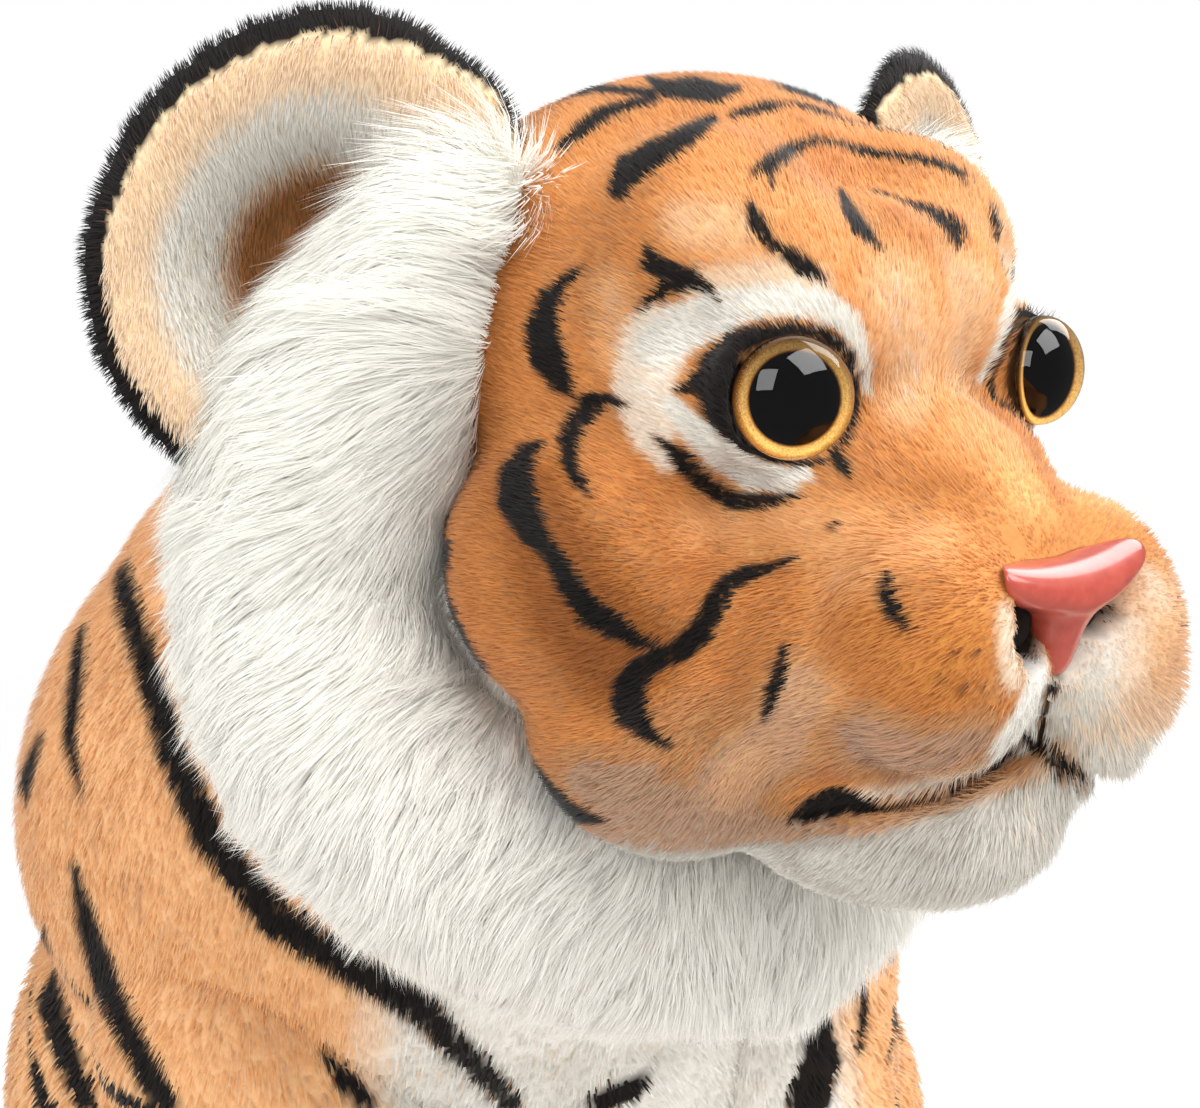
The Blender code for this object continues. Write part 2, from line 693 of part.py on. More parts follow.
def build_torso(head_side, ground):
    """Torso skin and filling, open at the neck plane."""
    core = Vector((0.0, 0.0, TORSO_HEIGHT / 2.0))
    form = Form("torso", core, lobes(TORSO_LOBE_SHARES, TORSO_BOX, Vector()), BODY_BLEND,
                -GROUND_CUT)
    cover = form.piece("torso_cover", ORANGE, FINE_CELLS)
    filling = form.filling("torso_filling", PLAIN_CELLS)
    cut(cover, form.hollow("torso_hollow", PLAIN_CELLS), head_side, ground)
    cut(filling, head_side)
    return cover, filling, form.outside("torso_outside", FINE_CELLS)


def build_haunches(torso_outside, ground):
    """Stuffed haunch and hind foot on each side."""
    outsides = {}
    for side, sign in SIDES:
        halves = Vector((HAUNCH_WIDTH, HAUNCH_DEPTH, HAUNCH_HEIGHT)) / 2.0
        x_share, y_share, z_share = HAUNCH_MIDDLE_SHARES
        middle = Vector((sign * x_share * TORSO_WIDTH, y_share * TORSO_DEPTH,
                         z_share * HAUNCH_HEIGHT))
        form = Form("haunch", middle, [(middle, halves, 0.0)], BODY_BLEND, -GROUND_CUT)
        cut(form.piece("haunch_" + side, ORANGE, PLAIN_CELLS), torso_outside, ground)
        outside = form.outside("haunch_outside_" + side, PLAIN_CELLS)
        foot_halves = Vector((FOOT_WIDTH, FOOT_LENGTH, FOOT_HEIGHT)) / 2.0
        foot_middle = Vector((sign * FOOT_MIDDLE_SHARES[0] * TORSO_WIDTH,
                              FOOT_MIDDLE_SHARES[1] * TORSO_DEPTH,
                              FOOT_HEIGHT / 2.0 - GROUND_CUT))
        foot = Form("foot", foot_middle, [(foot_middle, foot_halves, 0.0)], BODY_BLEND,
                    -GROUND_CUT)
        cut(foot.piece("hind_foot_" + side, CREAM, SMALL_CELLS), torso_outside, outside,
            ground)
        outsides[side] = outside
    return outsides


def leg_line(sign):
    """A front leg's middle line with its radii, shoulder first."""
    stations = []
    for x, y, z, radius in LEG_LINE_SHARES:
        stations.append((sign * x * TORSO_WIDTH, y * TORSO_DEPTH, z * TORSO_HEIGHT,
                         radius * LEG_DIAMETER))
    for x, y, radius in PAW_LINE_SHARES:
        thick = radius * LEG_DIAMETER
        stations.append((sign * x * TORSO_WIDTH, y * TORSO_DEPTH, thick - GROUND_CUT, thick))
    return sampled_line(stations, LIMB_RINGS)


def build_front_legs(torso_outside, haunch_outsides, ground):
    """Stuffed front leg with its paw on each side, sewn to the torso."""
    for side, sign in SIDES:
        leg = add_piece("front_leg_" + side, tube_mesh("front_leg_" + side, leg_line(sign)),
                        ORANGE)
        cut(leg, torso_outside, haunch_outsides[side], ground, solver='MANIFOLD')


def tail_line():
    """The tail's middle line on the ground, from its ball to near its end."""
    root = Vector((0.0, TAIL_ROOT_SHARE * TORSO_DEPTH, 0.0))
    stations = []
    for side, back, radius in TAIL_LINE_SHARES:
        thick = radius * TAIL_DIAMETER
        stations.append((side * TAIL_LENGTH, root.y + back * TAIL_LENGTH,
                         thick - GROUND_CUT, thick))
    return sampled_line(stations, LIMB_RINGS + LIMB_RINGS // 2)


def build_tail(torso_cover, torso_filling, ground):
    """Tail whose ball end sits in a socket of the rump, with a black tip."""
    line = tail_line()
    ball_radius = TAIL_BALL / 2.0
    root = Vector((0.0, TAIL_ROOT_SHARE * TORSO_DEPTH, ball_radius - GROUND_CUT))
    ball = ball_mesh("tail_ball", ball_radius, root)
    socket = add_cutter("tail_socket", ball_mesh("tail_socket", ball_radius + TAIL_SLIP, root))
    cut(torso_cover, socket)
    cut(torso_filling, socket)
    tail = add_piece("tail", tube_mesh("tail", line), ORANGE)
    join(tail, add_cutter("tail_ball", ball))
    tip_start = Vector(line[-1][:3]) - Vector((TAIL_TIP / 2.0, 0.0, 0.0))
    tip = add_piece("tail_tip", tube_mesh("tail_tip", line), BLACK)
    size = (OVERRUN, OVERRUN, OVERRUN)
    behind = Matrix.Translation(tip_start + Vector(((OVERRUN - GAP) / 2.0, 0.0, 0.0)))
    before = Matrix.Translation(tip_start - Vector(((OVERRUN - GAP) / 2.0, 0.0, 0.0)))
    cut(tail, add_cutter("tip_zone", box_mesh("tip_zone", size, behind)), ground)
    cut(tip, add_cutter("tail_zone", box_mesh("tail_zone", size, before)), ground)
    return root


def ball_mesh(name, radius, place):
    """A ball with its poles up and down, for the tail's swing."""
    bm = bmesh.new()
    bmesh.ops.create_uvsphere(bm, u_segments=BALL_SEGMENTS, v_segments=BALL_SEGMENTS // 2,
                              radius=radius)
    bmesh.ops.translate(bm, vec=place, verts=bm.verts)
    return mesh_from(name, bm)


def by_name(thing):
    """Sorts objects the same way in every run."""
    return thing.name


def build():
    """Make the whole tiger."""
    head_side, torso_side = build_neck_planes()
    ground = build_ground()
    torso_cover, torso_filling, torso_outside = build_torso(head_side, ground)
    haunch_outsides = build_haunches(torso_outside, ground)
    build_front_legs(torso_outside, haunch_outsides, ground)
    before_tail = set(bpy.data.objects)
    tail_root = build_tail(torso_cover, torso_filling, ground)
    before_head = set(bpy.data.objects)
    hang_from("tail_swing", tail_root, sorted(before_head - before_tail, key=by_name))
    before_head = set(bpy.data.objects)
    head_form, head_cover, head_filling, head_outside = build_head(torso_side)
    neck_outside = build_neck(torso_side, head_outside)
    muzzle, muzzle_outside, chin_outside = build_muzzle(head_outside, neck_outside)
    build_nose(head_form, (head_cover, head_filling, muzzle), head_outside, muzzle_outside)
    face = (head_outside, muzzle_outside, chin_outside, neck_outside)
    ruff_outsides = build_ruff(face + (torso_side,))
    build_ears((head_outside, neck_outside, torso_side, *ruff_outsides))
    head_things = sorted(set(bpy.data.objects) - before_head, key=by_name)
    hang_from("head_turn", from_eyes(NECK_JOINT_SHARES), head_things)


remove_everything()
TIGER = new_collection("plush_tiger")
CUTTERS = new_collection("cutters")
build()
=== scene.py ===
# %% [markdown]
# # A sitting plush tiger
#
# The real toy is sewn from pile fabric: a woven backing with short dyed fur, stretched
# over polyester fibre. The looks of such a toy come from three things, and each gets its
# own steps here: the stuffed forms, the coat that is printed on them, and the pile itself,
# which is thousands of real strands. A flat texture could draw the fur, but only strands
# give the soft edge that the eye looks for, so they are made as geometry.

import math

import bmesh
import bpy
import numpy as np
from mathutils import Matrix, Vector, kdtree
from mathutils.bvhtree import BVHTree


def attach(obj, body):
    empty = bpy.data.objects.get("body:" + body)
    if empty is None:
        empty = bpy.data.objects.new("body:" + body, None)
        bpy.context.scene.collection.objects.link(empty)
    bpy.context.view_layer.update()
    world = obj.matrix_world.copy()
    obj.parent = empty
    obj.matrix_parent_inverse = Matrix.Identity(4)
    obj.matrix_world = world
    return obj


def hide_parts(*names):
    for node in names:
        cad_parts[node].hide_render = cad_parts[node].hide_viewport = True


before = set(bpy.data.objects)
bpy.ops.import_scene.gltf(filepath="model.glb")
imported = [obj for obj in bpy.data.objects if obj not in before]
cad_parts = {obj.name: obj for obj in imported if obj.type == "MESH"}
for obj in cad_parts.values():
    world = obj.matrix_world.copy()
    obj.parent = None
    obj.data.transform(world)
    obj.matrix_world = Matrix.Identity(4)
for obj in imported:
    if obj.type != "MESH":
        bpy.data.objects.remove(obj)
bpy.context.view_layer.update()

# %% [markdown]
# ## Camera and studio
#
# The camera stands where the photographer's did: a little above the tiger's eyes, in front
# of its right cheek. All places on the head are written in millimetres from the point
# midway between the eyes, which is easy to find again on the photograph.

# %% Camera
MM = 0.001
EYES = Vector((0.0, -0.300, 0.500))
PHOTO_SIZE = (1200, 1108)
FOCAL = 1271.0
CENTRE = (705.0, 554.0)
SENSOR = 36.0
YAW, PITCH, ROLL = math.radians(33.5), math.radians(11.5), math.radians(-3.1)
STAND = Vector((-219.0, -233.5, 24.0))


def camera_axes():
    """The camera's right, up and backward directions."""
    right = Vector((math.cos(-YAW), math.sin(-YAW), 0.0))
    back = Vector((math.sin(-YAW) * math.cos(PITCH), -math.cos(-YAW) * math.cos(PITCH),
                   math.sin(PITCH)))
    up = back.cross(right)
    return (right * math.cos(ROLL) + up * math.sin(ROLL),
            up * math.cos(ROLL) - right * math.sin(ROLL), back)


AXES = camera_axes()
bpy.ops.object.camera_add()
camera = bpy.context.object
camera.name = "camera"
camera.data.sensor_width = SENSOR
camera.data.lens = SENSOR * FOCAL / PHOTO_SIZE[0]
camera.data.shift_x = (PHOTO_SIZE[0] / 2 - CENTRE[0]) / PHOTO_SIZE[0]
camera.data.shift_y = (CENTRE[1] - PHOTO_SIZE[1] / 2) / PHOTO_SIZE[0]
camera.matrix_world = (Matrix.Translation(EYES + STAND * MM)
                       @ Matrix(AXES).transposed().to_4x4())
bpy.context.scene.camera = camera

# %% Floor, lamps and background
def linear(hex_colour):
    """A colour written as sRGB hex, as the linear numbers that Blender works in."""
    shares = [int(hex_colour[place:place + 2], 16) / 255.0 for place in (0, 2, 4)]
    return [share / 12.92 if share <= 0.04045 else ((share + 0.055) / 1.055) ** 2.4
            for share in shares]


def add_node(tree, kind, links=(), **settings):
    """Add a node, set its inputs or properties by name, and link others to it."""
    node = tree.nodes.new(kind)
    for name, value in settings.items():
        if hasattr(node, name):
            setattr(node, name, value)
        else:
            node.inputs[name.replace("_", " ")].default_value = value
    for source, name in links:
        tree.links.new(source, node.inputs[name])
    return node


def new_material(name):
    """A material with an empty node tree, and that tree."""
    made = bpy.data.materials.new(name)
    made.use_nodes = True
    made.node_tree.nodes.clear()
    return made, made.node_tree


WHITE_ROOM = 1.0
ROOM_LIGHT = 0.52
MIRRORED_ROOM = 0.22
scene = bpy.context.scene
scene.view_settings.view_transform = 'Standard'
world = bpy.data.worlds.new("studio")
scene.world = world
world.use_nodes = True
tree = world.node_tree
tree.nodes.clear()
path = add_node(tree, "ShaderNodeLightPath")
seen = add_node(tree, "ShaderNodeMath", ((path.outputs["Is Camera Ray"], 0),
                                         (path.outputs["Is Transmission Ray"], 1)),
                operation='MAXIMUM')
dimmed = add_node(tree, "ShaderNodeMapRange", ((path.outputs["Is Glossy Ray"], "Value"),),
                  To_Min=ROOM_LIGHT, To_Max=MIRRORED_ROOM)
level = add_node(tree, "ShaderNodeMapRange", ((seen.outputs[0], "Value"),
                                              (dimmed.outputs[0], "To Min")),
                 To_Max=WHITE_ROOM)
room = add_node(tree, "ShaderNodeBackground", ((level.outputs[0], "Strength"),),
                Color=(*linear("FFFFFF"), 1.0))
add_node(tree, "ShaderNodeOutputWorld", ((room.outputs[0], "Surface"),))

FLOOR_SIZE = 12.0
FLOOR_LEVEL = -0.0004
FLOOR_GLOW = 0.80
NEAR_FLOOR, FAR_FLOOR = 0.7, 1.8
bpy.ops.object.select_all(action='DESELECT')
bpy.ops.mesh.primitive_plane_add(size=FLOOR_SIZE, location=(0.0, 0.0, FLOOR_LEVEL))
floor = bpy.context.object
floor.name = "floor"
paper, tree = new_material("white paper floor")
path = add_node(tree, "ShaderNodeLightPath")
where = add_node(tree, "ShaderNodeTexCoord")
reach = add_node(tree, "ShaderNodeVectorMath", ((where.outputs["Object"], 0),),
                 operation='LENGTH')
faded = add_node(tree, "ShaderNodeMapRange", ((reach.outputs["Value"], "Value"),),
                 From_Min=NEAR_FLOOR, From_Max=FAR_FLOOR, To_Min=FLOOR_GLOW, To_Max=1.0)
glow = add_node(tree, "ShaderNodeMath", ((path.outputs["Is Camera Ray"], 0),
                                         (faded.outputs[0], 1)), operation='MULTIPLY')
sheet = add_node(tree, "ShaderNodeBsdfDiffuse", Color=(*linear("F6F5F3"), 1.0))
bright = add_node(tree, "ShaderNodeEmission", Strength=1.0)
mixed = add_node(tree, "ShaderNodeMixShader", ((glow.outputs[0], 0), (sheet.outputs[0], 1),
                                               (bright.outputs[0], 2)))
add_node(tree, "ShaderNodeOutputMaterial", ((mixed.outputs[0], "Surface"),))
floor.data.materials.append(paper)
floor.visible_glossy = False


LAMP_TARGET = Vector((0.0, -0.15, 0.42))
LAMPS = (("softbox_key", (0.40, -1.45, 2.15), 1.6, 50.0),
         ("softbox_fill", (-1.7, -0.8, 1.5), 1.2, 22.0),
         ("softbox_side", (1.5, -0.1, 1.8), 1.3, 24.0))


def add_lamp(name, place, size, watts):
    """A square softbox that points at the tiger's chest."""
    bpy.ops.object.light_add(type='AREA', location=place)
    lamp = bpy.context.object
    lamp.name = name
    lamp.data.shape = 'SQUARE'
    lamp.data.size = size
    lamp.data.energy = watts
    away = Vector(place) - LAMP_TARGET
    lamp.rotation_euler = away.to_track_quat('Z', 'Y').to_euler()


for lamp in LAMPS:
    add_lamp(*lamp)

# %% [markdown]
# ## Stuffed forms
#
# A stuffed animal is a set of plump lobes that run softly into each other. Each lobe starts
# as a sphere that is stretched, turned and placed. The lobes of one form are joined, a
# voxel Remesh melts them into one skin, and a Smooth modifier draws the seams tight, which
# is about what the filling does to the real fabric.

# %% Helpers for modelling
LOBE_SEGMENTS, LOBE_RINGS = 40, 24
SMOOTH_FACTOR = 0.5


def deselect():
    """An operator acts on all that is selected, so each step starts from nothing."""
    if bpy.context.object and bpy.context.object.mode != 'OBJECT':
        bpy.ops.object.mode_set(mode='OBJECT')
    bpy.ops.object.select_all(action='DESELECT')


def on_head(x, y, z):
    """A place in millimetres from the eye point."""
    return EYES + Vector((x, y, z)) * MM


def lobe(place, halves, tilt=0.0, turn=0.0):
    """A sphere stretched to half sizes in metres, tilted about X and turned about Z."""
    bpy.ops.mesh.primitive_uv_sphere_add(segments=LOBE_SEGMENTS, ring_count=LOBE_RINGS,
                                         radius=1.0)
    ball = bpy.context.object
    ball.matrix_world = (Matrix.Translation(place)
                         @ Matrix.Rotation(math.radians(turn), 4, 'Z')
                         @ Matrix.Rotation(math.radians(tilt), 4, 'X')
                         @ Matrix.Diagonal((*halves, 1.0)))
    return ball


def apply_modifier(piece, kind, **settings):
    """Add a modifier, set it and apply it."""
    bpy.context.view_layer.objects.active = piece
    modifier = piece.modifiers.new(kind.title(), kind)
    for name, value in settings.items():
        setattr(modifier, name, value)
    bpy.ops.object.modifier_apply(modifier=modifier.name)


def melt(name, balls, voxel, rounds, floor_level=None, room=0.0):
    """Join lobes into one skin, drawn in to leave room for the pile."""
    deselect()
    for ball in balls:
        ball.select_set(True)
    bpy.context.view_layer.objects.active = balls[0]
    if len(balls) > 1:
        bpy.ops.object.join()
    skin = bpy.context.view_layer.objects.active
    skin.name = name
    skin.data.name = name
    bpy.ops.object.transform_apply(location=True, rotation=True, scale=True)
    apply_modifier(skin, 'REMESH', mode='VOXEL', voxel_size=voxel)
    apply_modifier(skin, 'SMOOTH', factor=SMOOTH_FACTOR, iterations=rounds)
    if room:
        apply_modifier(skin, 'DISPLACE', strength=-room, mid_level=0.0)
    if floor_level is not None:
        for vertex in skin.data.vertices:
            vertex.co.z = max(vertex.co.z, floor_level)
    bpy.ops.object.shade_smooth()
    print(name, len(skin.data.polygons), "faces")
    return skin


# %% [markdown]
# ### Head
#
# Skull, brows, cheeks and jowls make the round face. The bridge, the two muzzle pads and
# the chin stand forward of it. On the toy these are separate fabric panels, but the pile
# hides their seams, so one skin carries them all. The thread of the mouth pulls the right
# pad up a little more than the left, as on the real toy.

# %% Head skin
HEAD_LOBES = (
    ((0.0, 99.3, 11.5), (90.5, 91.0, 77.5), 0.0),
    ((19.7, 27.4, 16.2), (23.6, 38.5, 34.6), 2.6),
    ((0.0, 24.0, 14.0), (24.0, 37.0, 35.0), 0.0),
    ((30.0, 48.0, 30.0), (38.0, 44.0, 38.0), 0.0),
    ((53.0, 63.0, -46.0), (46.0, 50.0, 46.0), 0.0),
    ((46.0, 48.0, -88.0), (40.0, 46.0, 38.0), 0.0),
    ((44.0, 31.0, -2.0), (22.0, 24.0, 22.0), 0.0),
    ((40.5, 3.0, 0.0), (19.0, 12.0, 18.5), 0.0),
    ((0.0, -20.0, -33.0), (24.0, 40.0, 21.0), 48.0),
    ((20.0, 4.0, -30.0), (22.0, 30.0, 26.0), 30.0),
    ((30.0, 6.0, -66.0), (24.0, 36.0, 30.0), 0.0),
    ((0.0, 37.0, -70.0), (37.0, 46.0, 54.0), 0.0),
    ((0.0, -28.0, -56.0), (20.0, 26.0, 26.0), 0.0),
    ((0.0, 17.3, -110.5), (41.5, 58.0, 30.5), -4.6),
)
PAD_LOBES = (
    ((-25.0, -30.5, -56.5), (24.5, 28.5, 30.0), -8.0),
    ((25.0, -30.5, -61.5), (24.5, 28.5, 36.0), -8.0),
    ((22.0, -29.0, -79.0), (21.0, 25.0, 26.5), 0.0),
)
HEAD_VOXEL, HEAD_ROUNDS = 0.003, 12
SHORT_PILE_ROOM = 0.0022
BODY_PILE_ROOM = 0.0030


def sides(x):
    """A lobe off the middle has a twin on the other side."""
    return (1.0, -1.0) if x else (1.0,)


deselect()
balls = []
for (x, y, z), halves, tilt in HEAD_LOBES:
    for side in sides(x):
        balls.append(lobe(on_head(x * side, y, z), Vector(halves) * MM, tilt))
for (x, y, z), halves, tilt in PAD_LOBES:
    balls.append(lobe(on_head(x, y, z), Vector(halves) * MM, tilt))
head_skin = melt("head_skin", balls, HEAD_VOXEL, HEAD_ROUNDS, room=SHORT_PILE_ROOM)

# %% [markdown]
# ### Ruff and neck
#
# A collar of long-pile fabric runs from under each ear round the jaw to the bib. Its
# backing is a soft roll, made as a chain of balls along a bent line. The neck is one plump
# lobe behind it, on which the head turns.

# %% Ruff and neck skins
def smooth_line(stations, count):
    """Points (x, y, z, radius) on a smooth curve through the stations."""
    values = [np.array(station, float) for station in stations]
    values = [2 * values[0] - values[1]] + values + [2 * values[-1] - values[-2]]
    spans = len(values) - 3
    found = []
    for number in range(count):
        place = number * spans / (count - 1)
        span = min(int(place), spans - 1)
        part = place - span
        before, start, end, after = values[span:span + 4]
        found.append(0.5 * (2 * start + (end - before) * part
                            + (2 * before - 5 * start + 4 * end - after) * part ** 2
                            + (3 * start - before - 3 * end + after) * part ** 3))
    return found


def chain(stations, count, mirrored=(1.0,)):
    """Balls along a smooth line, in millimetres, on one side or on both."""
    made = []
    for side in mirrored:
        for x, y, z, radius in smooth_line(stations, count):
            made.append(lobe(Vector((x * side, y, z)) * MM, Vector((radius,) * 3) * MM))
    return made


EYES_MM = np.array(EYES) / MM
RUFF_LINE = ((76.0, 80.0, 50.0, 15.0), (86.0, 92.0, 26.0, 26.0), (104.0, 110.0, -8.0, 32.0),
             (116.0, 120.0, -44.0, 34.0), (112.0, 116.0, -82.0, 38.0),
             (95.0, 106.0, -113.0, 40.0), (68.0, 97.0, -134.0, 42.0),
             (35.0, 88.0, -152.0, 42.0), (0.0, 82.0, -163.0, 42.0))
RUFF_BALLS = 20
RUFF_VOXEL, RUFF_ROUNDS = 0.005, 8
NECK_PLACE, NECK_HALVES = (0.0, 135.0, -70.0), (113.0, 82.0, 102.0)
NECK_VOXEL, NECK_ROUNDS = 0.007, 4
line = [(x + EYES_MM[0], y + EYES_MM[1], z + EYES_MM[2], r) for x, y, z, r in RUFF_LINE]
deselect()
ruff_skin = melt("ruff_skin", chain(line, RUFF_BALLS, (1.0, -1.0)), RUFF_VOXEL, RUFF_ROUNDS)
deselect()
neck_skin = melt("neck_skin", [lobe(on_head(*NECK_PLACE), Vector(NECK_HALVES) * MM)],
                 NECK_VOXEL, NECK_ROUNDS)

# %% [markdown]
# ### Body, legs and tail
#
# The torso is pear-shaped and sits on a flat seat. Each front leg is a chain of balls that
# ends in a broad paw with four toes, and each hind leg is a big haunch with a long foot.
# They are separate skins, as they are separate panels on the toy, and the crease where they
# meet is the seam.

# %% Body skins
TORSO_LOBES = (((0.0, -14.0, 404.0), (152.0, 118.0, 96.0)),
               ((0.0, -18.6, 328.0), (194.5, 139.5, 161.6)),
               ((0.0, 18.6, 192.0), (213.8, 139.5, 181.8)),
               ((0.0, 38.8, 113.6), (215.6, 142.6, 136.4)))
BODY_VOXEL, BODY_ROUNDS = 0.006, 10
GROUND = 0.0002
deselect()
balls = [lobe(Vector(place) * MM, Vector(halves) * MM) for place, halves in TORSO_LOBES]
torso_skin = melt("torso_skin", balls, BODY_VOXEL, BODY_ROUNDS, GROUND, BODY_PILE_ROOM)

LEG_LINE = ((90.0, -20.0, 372.0, 46.0), (126.0, -56.0, 292.0, 56.0),
            (117.0, -79.0, 215.0, 55.0), (98.0, -108.0, 146.0, 49.0),
            (87.0, -138.0, 93.0, 45.0), (81.0, -163.0, 58.0, 43.0),
            (81.0, -207.0, 45.0, 44.0))
TOE_TURNS = (-30.0, -10.0, 10.0, 30.0)
PAW_TOES = ((82.0, -214.0, 30.0), (15.0, 24.0, 29.0), 38.0)
FOOT_TOES = ((161.0, -172.0, 26.0), (14.0, 22.0, 25.0), 32.0)
HIND_LOBES = (((152.0, 6.0, 96.0), (72.0, 121.0, 103.0)),
              ((161.0, -135.0, 34.0), (41.0, 86.0, 34.0)))
LEG_BALLS, LEG_VOXEL, HIND_VOXEL, LEG_ROUNDS = 15, 0.0045, 0.005, 4


def toes(side, middle, halves, reach):
    """Four toes fanned round a paw's middle, in millimetres."""
    x, y, height = middle[0] * side, middle[1], middle[2]
    made = []
    for turn in TOE_TURNS:
        angle = math.radians(turn)
        place = Vector((x + reach * math.sin(angle), y - reach * math.cos(angle), height))
        made.append(lobe(place * MM, Vector(halves) * MM, 0.0, turn))
    return made


skins = {}
for name, side in (("left", 1.0), ("right", -1.0)):
    deselect()
    balls = chain(LEG_LINE, LEG_BALLS, (side,)) + toes(side, *PAW_TOES)
    skins["front_leg_" + name] = melt("front_leg_skin_" + name, balls, LEG_VOXEL, LEG_ROUNDS,
                                       GROUND, BODY_PILE_ROOM)
    deselect()
    balls = [lobe(Vector((x * side, y, z)) * MM, Vector(halves) * MM)
             for (x, y, z), halves in HIND_LOBES] + toes(side, *FOOT_TOES)
    skins["hind_leg_" + name] = melt("hind_leg_skin_" + name, balls, HIND_VOXEL, LEG_ROUNDS,
                                      GROUND, BODY_PILE_ROOM)

TAIL_LINE = ((0.0, 140.0, 34.0, 30.0), (8.0, 212.8, 27.8, 28.0), (36.0, 276.8, 27.2, 27.4),
             (92.0, 324.8, 26.2, 26.3), (164.0, 344.8, 24.6, 24.6), (236.0, 336.8, 22.5, 22.4))
TAIL_BALLS, TAIL_VOXEL, TAIL_ROUNDS = 44, 0.004, 3
deselect()
tail_skin = melt("tail_skin", chain(TAIL_LINE, TAIL_BALLS), TAIL_VOXEL, TAIL_ROUNDS, GROUND,
                 BODY_PILE_ROOM)

# %% [markdown]
# ### Ears
#
# Each ear is a dish of two panels sewn round the rim: black pile behind, cream pile in
# front. It folds towards the head at its base, so the outline isn't round there. A circle
# of points is filled by inset rings, pushed back into a dish and given its thickness by
# Solidify.

# %% Ear skins
EAR_MIDDLE = (120.0, 109.0, 38.0)
EAR_TURN = math.radians(25.0)
EAR_OUTLINE = ((29, -55), (40, -42), (47, -29), (50, -12), (49, 6), (41, 24), (26, 44),
               (8, 56), (-11, 63), (-25, 64), (-41, 60), (-52, 51), (-63, 42), (-66, 10),
               (-45, -30), (-5, -58))
EAR_CENTRE = (-6.0, 2.0)
EAR_FUR_ROOM = 0.965
EAR_SPOKES = 72
EAR_RINGS = 14
EAR_DEPTH = 31.0
DISH_FLOOR, DISH_WALL = 0.25, 0.80
RIM_ROLL = 5.0
RIM_START, RIM_WIDTH = 0.88, 0.12
EAR_THICKNESS = 0.007
EAR_VOXEL, EAR_ROUNDS = 0.003, 5


def ear_frame(side):
    """The ear's middle, and its outward, upward and forward directions."""
    middle = on_head(side * EAR_MIDDLE[0], EAR_MIDDLE[1], EAR_MIDDLE[2])
    outward = Vector((side * math.cos(EAR_TURN), math.sin(EAR_TURN), 0.0))
    forward = Vector((side * math.sin(EAR_TURN), -math.cos(EAR_TURN), 0.0))
    return middle, outward, Vector((0.0, 0.0, 1.0)), forward


def ear_reach(angles):
    """How far the ear's outline lies from its centre, for each angle."""
    points = (np.array(EAR_OUTLINE, float) - np.array(EAR_CENTRE)) * EAR_FUR_ROOM
    place = np.arctan2(points[:, 1], points[:, 0])
    order = np.argsort(place)
    return np.interp(angles, place[order], np.linalg.norm(points, axis=1)[order],
                     period=2 * math.pi)


def dish(share):
    """How deep the ear is hollowed at a share of the way to the rim, from 1 to 0."""
    part = np.clip((share - DISH_FLOOR) / (DISH_WALL - DISH_FLOOR), 0.0, 1.0)
    return 1.0 - part * part * (3.0 - 2.0 * part)


def ear_place(angle, share, side):
    """A point of the ear's front, by its turn round the centre and its share of the way
    to the rim."""
    middle, outward, up, forward = ear_frame(side)
    reach = float(ear_reach(np.array([angle]))[0]) * share
    across = EAR_CENTRE[0] + reach * math.cos(angle)
    along = EAR_CENTRE[1] + reach * math.sin(angle)
    depth = EAR_DEPTH * dish(share) + RIM_ROLL * max(share - RIM_START, 0.0) / RIM_WIDTH
    return middle + (outward * across + up * along - forward * depth) * MM


ears = {}
for name, side in (("left", 1.0), ("right", -1.0)):
    deselect()
    bpy.ops.mesh.primitive_circle_add(vertices=EAR_SPOKES, radius=1.0, fill_type='TRIFAN')
    ear = bpy.context.object
    ear.name = "ear_skin_" + name
    bpy.ops.object.mode_set(mode='EDIT')
    shape = bmesh.from_edit_mesh(ear.data)
    spokes = [edge for edge in shape.edges if len(edge.link_faces) == 2]
    bmesh.ops.subdivide_edges(shape, edges=spokes, cuts=EAR_RINGS - 1)
    bmesh.update_edit_mesh(ear.data)
    bpy.ops.object.mode_set(mode='OBJECT')
    for vertex in ear.data.vertices:
        share = min(vertex.co.xy.length, 1.0)
        vertex.co = ear_place(math.atan2(vertex.co.y, vertex.co.x), share, side)
    apply_modifier(ear, 'SOLIDIFY', thickness=EAR_THICKNESS, offset=0.0)
    apply_modifier(ear, 'REMESH', mode='VOXEL', voxel_size=EAR_VOXEL)
    apply_modifier(ear, 'SMOOTH', factor=SMOOTH_FACTOR, iterations=EAR_ROUNDS)
    bpy.ops.object.shade_smooth()
    ears[name] = ear
    print(ear.name, len(ear.data.polygons), "faces")

# %% [markdown]
# ## Coat pattern
#
# The colours of a printed plush lie in soft areas, some of them painted light and shade, and
# the black stripes lie on top of them.
# Both are written as strokes: a bent line with a width that swells and tapers, as a brush
# would leave it. The strokes of the seen side were followed on the photograph, so each is
# sent out from the camera until it lands on the skin. The other side mirrors them, as it is
# hardly seen. Only the mouth and two stripes of the far chest are followed by themselves.

# %% Helpers that land strokes on the skins
def tree_of(*pieces):
    """A search tree over the surfaces of some pieces."""
    points, faces = [], []
    for piece in pieces:
        start = len(points)
        points += [vertex.co.copy() for vertex in piece.data.vertices]
        faces += [[start + index for index in face.vertices] for face in piece.data.polygons]
    return BVHTree.FromPolygons(points, faces)


MISSED_REACH = 0.33
START_REACH = 0.6


